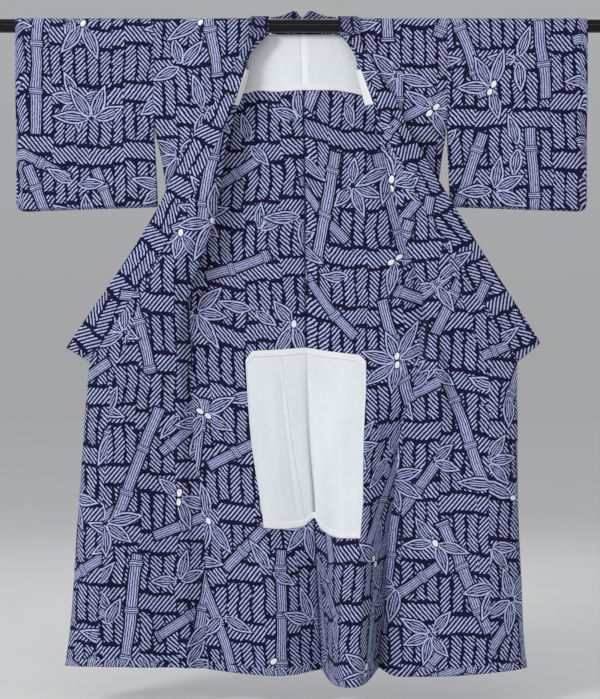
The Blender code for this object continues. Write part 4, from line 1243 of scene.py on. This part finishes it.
def poles(u, v, under, uneven, form):
    """Bamboo poles: long bars of parallel lines with knotted joints."""
    _, _, x, y, luck = cell_of(u, v, form["shift"], form["cell"], form["seed"])
    x = x + spread(luck[1], POLE_WANDER)
    x, y = turned_place(x, y, luck[0] * form["tilt spread"] + form["least tilt"])
    from_joint = absolute(fract(y / form["joint"] + luck[2]) - 0.5) * form["joint"]
    knot = within(from_joint - KNOT_HALF, KNOT_EDGE)
    side = absolute(x) - (knot * KNOT_WIDER + form["half width"])
    end = absolute(y) - form["half length"] + below(luck[2], form["missing"])
    inside = most(side, end)
    lines = fade(x, from_joint, knot) / form["line"]
    light = within(line_gap(lines, uneven + POLE_LINES_THINNER, form["line"]), SOFT)
    light = light * within(RING_HALF - absolute(from_joint - KNOT_HALF), SOFT) * within(inside, SOFT)
    return fade(under, light, within(inside - POLE_MARGIN, SOFT))


def leaf_clusters(u, v, under, white, uneven, form):
    """Pointed leaves set round a centre, some of them missing, with pale buds at some centres.

    A leaf is a pale rim, a dark gap inside it, and pale lines along the leaf within the gap."""
    size = (form["cell"], form["cell"])
    column, row, x, y, luck = cell_of(u, v, form["shift"], size, form["seed"])
    spare = form["cell"] - 2 * (form["length"] + LEAF_START + LEAF_MARGIN)
    x, y = x + spread(luck[0], spare), y + spread(luck[1], spare)
    sector = 2 * math.pi / form["leaves"]
    turn = direction(y, x) / sector + luck[2] * CLUSTER_TURN
    leaf = floor(turn)
    number = remainder(leaf, float(form["leaves"]))
    chance = random(times_plus(column, 1.7, number), times_plus(row, 2.3, number), form["seed"] + 5)
    angle = (turn - leaf - 0.5) * sector
    reach = root(x * x + y * y)
    along, across = reach * cosine(angle), reach * sine(angle)
    across = across + along * spread(chance[2], LEAF_SKEW)
    length = chance[1] * (form["length"] * (1 - LEAF_SHORTEST)) + form["length"] * LEAF_SHORTEST
    t = least(most((along - LEAF_START) / length, 0.0), 1.0)
    side = absolute(across) - sine(power(t, LEAF_WIDEST) * math.pi) * form["half width"]
    end = most(along - LEAF_START - length, LEAF_START - along)
    away = most(side, end) + below(chance[0], form["missing"])
    rim = 1.0 - within(away + LEAF_RIM, SOFT)
    lines = within(line_gap(across / LEAF_LINE, uneven + LEAF_LINES_THINNER, LEAF_LINE), SOFT)
    light = most(rim, lines * within(away + LEAF_GAP, SOFT)) * within(away, SOFT)
    covered = within(away - LEAF_MARGIN, SOFT)
    light = fade(under, light, covered)
    bud_x, bud_y = turned_place(x, y, luck[1] * BUD_TURN)
    bud_x = fade(bud_x, absolute(bud_x) - BUD_APART, above(luck[0], BUDS_SINGLE))
    bud = root(bud_x * bud_x * (BUD_HALF[1] / BUD_HALF[0]) ** 2 + bud_y * bud_y) - BUD_HALF[1]
    budding = below(luck[2], form["budding"])
    light = light * (1.0 - within(bud - BUD_RIM, SOFT) * budding)
    return light, most(white * (1.0 - covered), within(bud, SOFT) * budding)


def print_group():
    """The whole print as one node group: how pale the dye leaves the cloth, and where it stays white."""
    tree = bpy.data.node_groups.new("leaf_and_bamboo_print", "ShaderNodeTree")
    tree.interface.new_socket("Vector", in_out="INPUT", socket_type="NodeSocketVector")
    for name in ("Pale", "White", "Beads"):
        tree.interface.new_socket(name, in_out="OUTPUT", socket_type="NodeSocketFloat")
    place = Value(tree, new_node(tree, "NodeGroupInput").outputs["Vector"])
    result = new_node(tree, "NodeGroupOutput")
    u, v, _ = split(place)
    for moved in (EDGE_WOBBLE, DRIFT):
        shift = noise(place, moved["scale"]) - 0.5
        u, v = u + shift * moved["reach"][0], v + shift * moved["reach"][1]
    uneven = noise(place, STROKE_UNEVEN["scale"]) * STROKE_UNEVEN["spread"]
    uneven = uneven + (STROKE_SHARE - STROKE_UNEVEN["spread"] / 2)
    light = hatched_ground(u, v, uneven)
    for form in POLES:
        light = poles(u, v, light, uneven, form)
    white = 0.0
    for form in CLUSTERS:
        light, white = leaf_clusters(u, v, light, white, uneven, form)
    put(result.inputs["Pale"], light)
    put(result.inputs["White"], white)
    dots = {"Vector": place, "Scale": BEADS_A_METRE}
    dots = node_value("ShaderNodeTexVoronoi", dots, "Distance", feature="F1")
    put(result.inputs["Beads"], maths("MULTIPLY", dots, DOT_EDGE, clamp=True))
    return tree


def new_material(name, roughness, **constants):
    material = bpy.data.materials.new(name)
    material.use_nodes = True
    shader = material.node_tree.nodes["Principled BSDF"]
    shader.inputs["Roughness"].default_value = roughness
    for socket, value in constants.items():
        shader.inputs[socket.replace("_", " ")].default_value = value
    return material, shader


def cloth_place(material, shift=(0.0, 0.0)):
    tree = material.node_tree
    u, v, _ = split(Value(tree, new_node(tree, "ShaderNodeUVMap", uv_map="cloth").outputs[0]))
    return vector(u + shift[0], v + shift[1])


def object_place(tree, name="Object"):
    return Value(tree, new_node(tree, "ShaderNodeTexCoord").outputs[name])


def weave_bump(shader, place, pitch, strength, extra=0.0):
    """Over-and-under threads, a little uneven, with the height of anything folded on top."""
    wobble = noise(place, THREAD_WANDER["scale"]) * THREAD_WANDER["reach"]
    u, v, _ = split(place)
    warp, weft = (sine(along * (2 * math.pi / pitch) + wobble) for along in (u, v))
    uneven = noise(place, UNEVEN_HEIGHT["scale"], 2.0) * UNEVEN_HEIGHT["reach"]
    height = warp * weft * THREAD_HEIGHT + uneven + extra
    bump = {"Strength": strength, "Distance": WEAVE_DEPTH, "Height": height}
    put(shader.inputs["Normal"], node_value("ShaderNodeBump", bump))


def near(value, middle, half, softness):
    """1 within a half width of a middle, and 0 past a soft edge."""
    return within(absolute(value - middle) - half, softness)


def printed_cotton(name, group, shift=(0.0, 0.0), painted_shade=None, seam=None):
    """Indigo cotton: dark ground, pale strokes made of dots with dark centres, and a few white buds.

    painted_shade is (v, half length, share) of a stretch of painted shade where the print is dimmed, and seam
    the u of a dark seam line that is partly the seam's own dark edge and partly painted shade of its valley."""
    material, shader = new_material(
        name, 0.9, Specular_IOR_Level=0.12, Sheen_Weight=0.03, Sheen_Roughness=0.5)
    place = cloth_place(material, shift)
    printed = new_node(material.node_tree, "ShaderNodeGroup", node_tree=group)
    put(printed.inputs["Vector"], place)
    pale, white, beads = (Value(material.node_tree, socket) for socket in printed.outputs)
    worn = noise(place, WORN_SCALE, 2.0)
    ink = colour(COTTON_INK, tuple(INK_WORN * part for part in COTTON_INK), worn)
    stroke = colour(COTTON_PALE, COTTON_BRIGHT, beads * DOT_BRIGHT["factor"] - DOT_BRIGHT["from"])
    strength = pale * (beads * DYE["dots"] + worn * DYE["worn"] + DYE["least"])
    # Painted shade: the print is dimmed over a stretch of the collar at the back of the neck
    if painted_shade is not None:
        middle, half, share = painted_shade
        _, v, _ = split(cloth_place(material))
        strength = strength * (1.0 - near(v, middle, half, PAINTED_SHADE_FADES) * share)
    # A dark line along the centre-back seam, partly its own dark edge and partly painted shade of its valley
    if seam is not None:
        u, _, _ = split(cloth_place(material))
        strength = strength * (1.0 - near(u, seam, SEAM_DARK, SEAM_FADES) * SEAM_SHARE)
    body = colour(colour(ink, stroke, least(strength, 1.0)), COTTON_WHITE, white)
    put(shader.inputs["Base Color"], body)
    weave_bump(shader, place, COTTON_THREAD, 0.30)
    return material


def white_cotton(name, white, bands=(), crease=None, valley=None):
    """Thin bleached cotton with visible threads; u runs from the lining's centre and v down from its top.

    bands are (u, half width, brightness), crease is (u at the top, u a metre down, half width) of a pressed
    crease drawn as a dent and a line of painted shade, and valley is (half width, v where it begins, share a
    metre down) of a soft painted shadow along the centre."""
    material, shader = new_material(
        name, 0.9, Specular_IOR_Level=0.2, Sheen_Weight=0.10, Sheen_Roughness=0.5)
    place = cloth_place(material)
    u, v, _ = split(place)
    fine, coarse = SLUB_SCALE
    slubs = noise(vector(u * fine, v * coarse), 1.0, 2.0) + noise(vector(u * coarse, v * fine, 7.0), 1.0, 2.0)
    cloudy = noise(vector(u * CLOUD_SCALE[0], v * CLOUD_SCALE[1]), 1.0, 2.0)
    tone = slubs * SLUB_TONE + cloudy * CLOUD_TONE + PLAIN_TONE
    height = 0.0
    for middle, half, brightness in bands:
        band = near(u, middle, half, BAND_EDGE)
        tone = tone + band * brightness
        height = height + band * BAND_HEIGHT
    if crease is not None:
        top, slant, half = crease
        line = near(u, v * slant + top, half, CREASE_EDGE)
        # The pressed crease is a dent with a line of painted shade
        tone = tone - line * CREASE_PAINTED_SHADE
        height = height - line * CREASE_DEPTH
    if valley is not None:
        half, start, share = valley
        # Painted shadow down the centre valley, deepening toward the bottom
        tone = tone - most(v - start, 0.0) * near(u, 0.0, half, VALLEY_SHADOW_FADES * half) * share
    put(shader.inputs["Base Color"], colour((0.0, 0.0, 0.0), white, least(tone, 1.0)))
    weave_bump(shader, place, LINING_THREAD, 0.45, height)
    return material


def black_lacquer():
    material, shader = new_material("rod_black_lacquer", 0.24, Specular_IOR_Level=0.25)
    place = object_place(material.node_tree)
    streaks = node_value("ShaderNodeMapping", {"Vector": place, "Scale": STREAKS})
    brushed = noise(streaks, STREAK_SCALE, 3.0)
    lighter = tuple(STREAK_LIGHTER * part for part in LACQUER)
    put(shader.inputs["Base Color"], colour(LACQUER, lighter, brushed))
    smoothest, roughest = LACQUER_ROUGH
    put(shader.inputs["Roughness"], brushed * (roughest - smoothest) + smoothest)
    return material


def column_share(places, start, full):
    """0 before a column and 1 past another, eased between them."""
    return ease((places - start) / (full - start))[None, :]


def hem_strip(name, strip, wall, material, slot, free_row, **more):
    """A turned-up hem: a second layer on the viewer's side, let down along its free row if it has one."""
    strip = strip.copy()
    strip[:, :, 1] -= wall * HEM_OFF
    strip[free_row, :, 1] += wall * HEM_DOWN
    return dress(shell(name, strip, wall, material, **more), slot)


def make_backs(cotton):
    for side in (LEFT, RIGHT):
        grid, rows_at, columns_at = fine_grid(back_rows(side), FACET)
        hanging = len(hanging_back_rows(side)) - 1
        middle_row = (rows_at[:-1] + rows_at[1:]) / 2
        middle_column = (columns_at[:-1] + columns_at[1:]) / 2
        keep = (middle_row[:, None] < hanging) | (middle_column[None, :] > NECK_COLUMN)
        grid = creased(grid, {"back": 1.0})
        name = f"cloth_back_{WORD[side]}"
        piece = shell(name, grid, CLOTH_WALL, cotton[side], keep, offset=PRINT_AT["back"])
        dress(piece, "indigo_cotton", f"back_{WORD[side]}")
        hem = hem_strip(f"{name}_hem", grid[:round(CLOTH_HEM / FACET) + 1], CLOTH_WALL, cotton[side],
                        "indigo_cotton", -1, offset=PRINT_AT["hem"])


def make_fronts(cotton):
    hem_rows = round(CLOTH_HEM / FACET) + 1
    for side in (LEFT, RIGHT):
        grid, rows_at, columns_at = fine_grid(front_rows(side), FACET)
        face = column_share(columns_at, *FACE_COLUMNS)
        under = 1 - column_share(columns_at, *UNDER_COLUMNS)
        grid = creased(grid, {"front": face, "sleeve face": under})
        name = f"cloth_front_{WORD[side]}"
        piece = shell(name, grid, CLOTH_WALL, cotton[side], offset=PRINT_AT["front"],
                      lengths=front_lengths(grid))
        dress(piece, "indigo_cotton", f"front_{WORD[side]}")
        from_column = int(np.argmax(columns_at > FRONT_HEM_COLUMN))
        hem = hem_strip(f"{name}_hem", grid[-hem_rows:, from_column:], CLOTH_WALL, cotton[side],
                        "indigo_cotton", 0, offset=PRINT_AT["hem"])
        name = f"cloth_okumi_{WORD[side]}"
        grid, _, _ = fine_grid(okumi_rows(side), FACET)
        grid = creased(grid, {"front": 1.0})
        piece = shell(name, grid, CLOTH_WALL, cotton[side], offset=PRINT_AT["okumi"],
                      lengths=okumi_lengths(grid, side))
        dress(piece, "indigo_cotton", f"okumi_{WORD[side]}")
        hem = hem_strip(f"{name}_hem", grid[-hem_rows:], CLOTH_WALL, cotton[side], "indigo_cotton", 0,
                        offset=PRINT_AT["okumi hem"])


def make_sleeves(cotton):
    for side in (LEFT, RIGHT):
        grid, _, columns_at = fine_grid(sleeve_rows(side), FACET)
        top = columns_at[-1] / 2
        face = column_share(columns_at, top - SLEEVE_TURN_COLUMNS, top + SLEEVE_TURN_COLUMNS)
        grid = creased(grid, {"sleeve face": face, "sleeve behind": 1 - face})
        piece = shell(f"cloth_sleeve_{WORD[side]}", grid, CLOTH_WALL, cotton[side], offset=PRINT_AT["sleeve"],
                      turned=True, closed=True)
        dress(piece, "indigo_cotton", f"sleeve_{WORD[side]}")


def make_collar(cotton):
    grid, rows_at, _ = fine_grid(collar_rows(), FACET)
    grid = creased(grid, {"front": 1.0})
    centre_row = int(np.argmin(abs(rows_at - len(collar_half(LEFT)) + 1)))
    piece = shell("cloth_collar", grid, COLLAR_WALL, cotton, lengths=collar_lengths(grid, centre_row))
    dress(piece, "collar_cotton", "collar")


def make_back_lining(name, node, lining, cloth, hem_cloth, hems_at_ends):
    """A white lining over the centre seam with its doubled hems as strips on the viewer's side."""
    rows = back_lining_rows(*lining["between"])
    grid, _, columns_at = fine_grid(rows, LINING_FACET, fold=LINING_COLUMN)
    grid = trimmed(creased(grid, {"back": 1.0}), columns_at, lining, LINING_FACET)
    middle = int(np.argmin(abs(columns_at - LINING_COLUMN)))
    piece = dress(shell(name, grid, LINING_WALL, cloth, middle=middle), "white_cotton", node)
    deep = round(LINING_HEM / LINING_FACET) + 1
    wide = round(LINING_SIDE_HEM / LINING_FACET) + 1
    no_row = slice(0, 0)
    strips = [(grid[-deep:], 0)]
    if hems_at_ends:
        between_hems = grid[deep - 1:1 - deep]
        strips += [(grid[:deep], -1), (between_hems[:, :wide], no_row), (between_hems[:, -wide:], no_row)]
    for number, (strip, free_row) in enumerate(strips):
        hem_name = f"{name}_hem_{number}"
        hem_strip(hem_name, strip, LINING_WALL, hem_cloth, "white_cotton", free_row)


def make_linings():
    hem_cloth = white_cotton("white_cotton_doubled", LINING_HEM_WHITE)
    shoulder = white_cotton("white_cotton_shoulder", LINING_WHITE, bands=SHOULDER_BANDS)
    make_back_lining("lining_shoulder", "shoulder_lining", SHOULDER_LINING, shoulder, hem_cloth,
                     False)
    seat = white_cotton("white_cotton_seat", LINING_WHITE, bands=SEAT_BANDS, crease=SEAT_CREASE,
                        valley=SEAT_VALLEY_SHADOW)
    make_back_lining("lining_seat", "seat_lining", SEAT_LINING, seat, hem_cloth, True)
    for side in (LEFT, RIGHT):
        grid, _, columns_at = fine_grid(front_lining_rows(side), LINING_FACET)
        face = column_share(columns_at, *LINING_FACE_COLUMNS)
        name = f"lining_shoulder_front_{WORD[side]}"
        under = 1 - column_share(columns_at, *LINING_UNDER_COLUMNS)
        grid = creased(grid, {"front": face, "sleeve face": under})
        piece = shell(name, grid, LINING_WALL, hem_cloth)
        dress(piece, "white_cotton", f"shoulder_lining_front_{WORD[side]}")


def make_rod(material):
    form = bmesh.new()
    bmesh.ops.create_cone(form, cap_ends=True, segments=ROD_SIDES, radius1=ROD_RADIUS, radius2=ROD_RADIUS,
                          depth=ROD_LENGTH)
    mesh = bpy.data.meshes.new("rod_fine")
    form.to_mesh(mesh)
    form.free()
    mesh.materials.append(material)
    rod = bpy.data.objects.new("rod_fine", mesh)
    bpy.context.scene.collection.objects.link(rod)
    rod.rotation_euler = (0.0, math.pi / 2, 0.0)
    mesh.shade_smooth()
    mesh.set_sharp_from_angle(angle=ROD_SHARP)
    bevel = rod.modifiers.new("end_round", "BEVEL")
    bevel.width = ROD_END_ROUND
    bevel.segments = 5
    bevel.limit_method = "ANGLE"
    bevel.angle_limit = ROD_SHARP
    return dress(rod, "rod_lacquer", "rod")


def make_camera():
    data = bpy.data.cameras.new("camera")
    data.sensor_width = SENSOR
    data.lens = SENSOR / 2 * CAMERA_DISTANCE / (VIEW_HEIGHT / 2)
    camera = bpy.data.objects.new("camera", data)
    camera.location = (CAMERA_CENTRE[0], -CAMERA_DISTANCE, CAMERA_CENTRE[1])
    camera.rotation_euler = (math.pi / 2, 0.0, 0.0)
    bpy.context.scene.collection.objects.link(camera)
    bpy.context.scene.camera = camera


def make_light(name, place, aim, size, power):
    data = bpy.data.lights.new(name, "AREA")
    data.shape = "RECTANGLE"
    data.size, data.size_y = size
    data.energy = power
    light = bpy.data.objects.new(name, data)
    light.location = place
    light.rotation_euler = (Vector(aim) - Vector(place)).to_track_quat("-Z", "Y").to_euler()
    bpy.context.scene.collection.objects.link(light)


def make_stage():
    material, shader = new_material("pale_floor", 0.9)
    tone = noise(object_place(material.node_tree), 3.0, 3.0)
    put(shader.inputs["Base Color"], colour(*FLOOR_TONES, tone))
    bpy.ops.mesh.primitive_plane_add(size=40.0, location=(0.0, 0.0, -FLOOR_DROP))
    ground = bpy.context.object
    ground.name = "floor"
    ground.data.materials.append(material)
    world = bpy.data.worlds.new("studio")
    world.use_nodes = True
    _, _, up = split(object_place(world.node_tree, "Generated"))
    sky = colour(SKY_LOW, SKY_HIGH, most(up, 0.0))
    put(world.node_tree.nodes["Background"].inputs["Color"], sky)
    bpy.context.scene.world = world
    bpy.context.scene.view_settings.view_transform = "Standard"
    for light in LIGHTS:
        make_light(*light)


def main():
    make_camera()
    make_stage()
    make_rod(black_lacquer())
    group = print_group()
    cotton = {
        LEFT: printed_cotton("indigo_cotton_left", group),
        RIGHT: printed_cotton("indigo_cotton_right", group, shift=RIGHT_PRINT_SHIFT),
    }
    # The backs' materials darken the centre-back seam, partly as its own dark edge and partly as painted shade
    # of its valley
    seam = PRINT_AT["back"][0]
    make_backs({
        LEFT: printed_cotton("indigo_cotton_back_left", group, seam=seam),
        RIGHT: printed_cotton("indigo_cotton_back_right", group, shift=RIGHT_PRINT_SHIFT, seam=seam),
    })
    make_fronts(cotton)
    make_sleeves(cotton)
    # The collar's material paints shade at the back of the neck
    make_collar(printed_cotton("indigo_cotton_collar", group, shift=COLLAR_PRINT_SHIFT, painted_shade=COLLAR_PAINTED_SHADE))
    make_linings()


main()
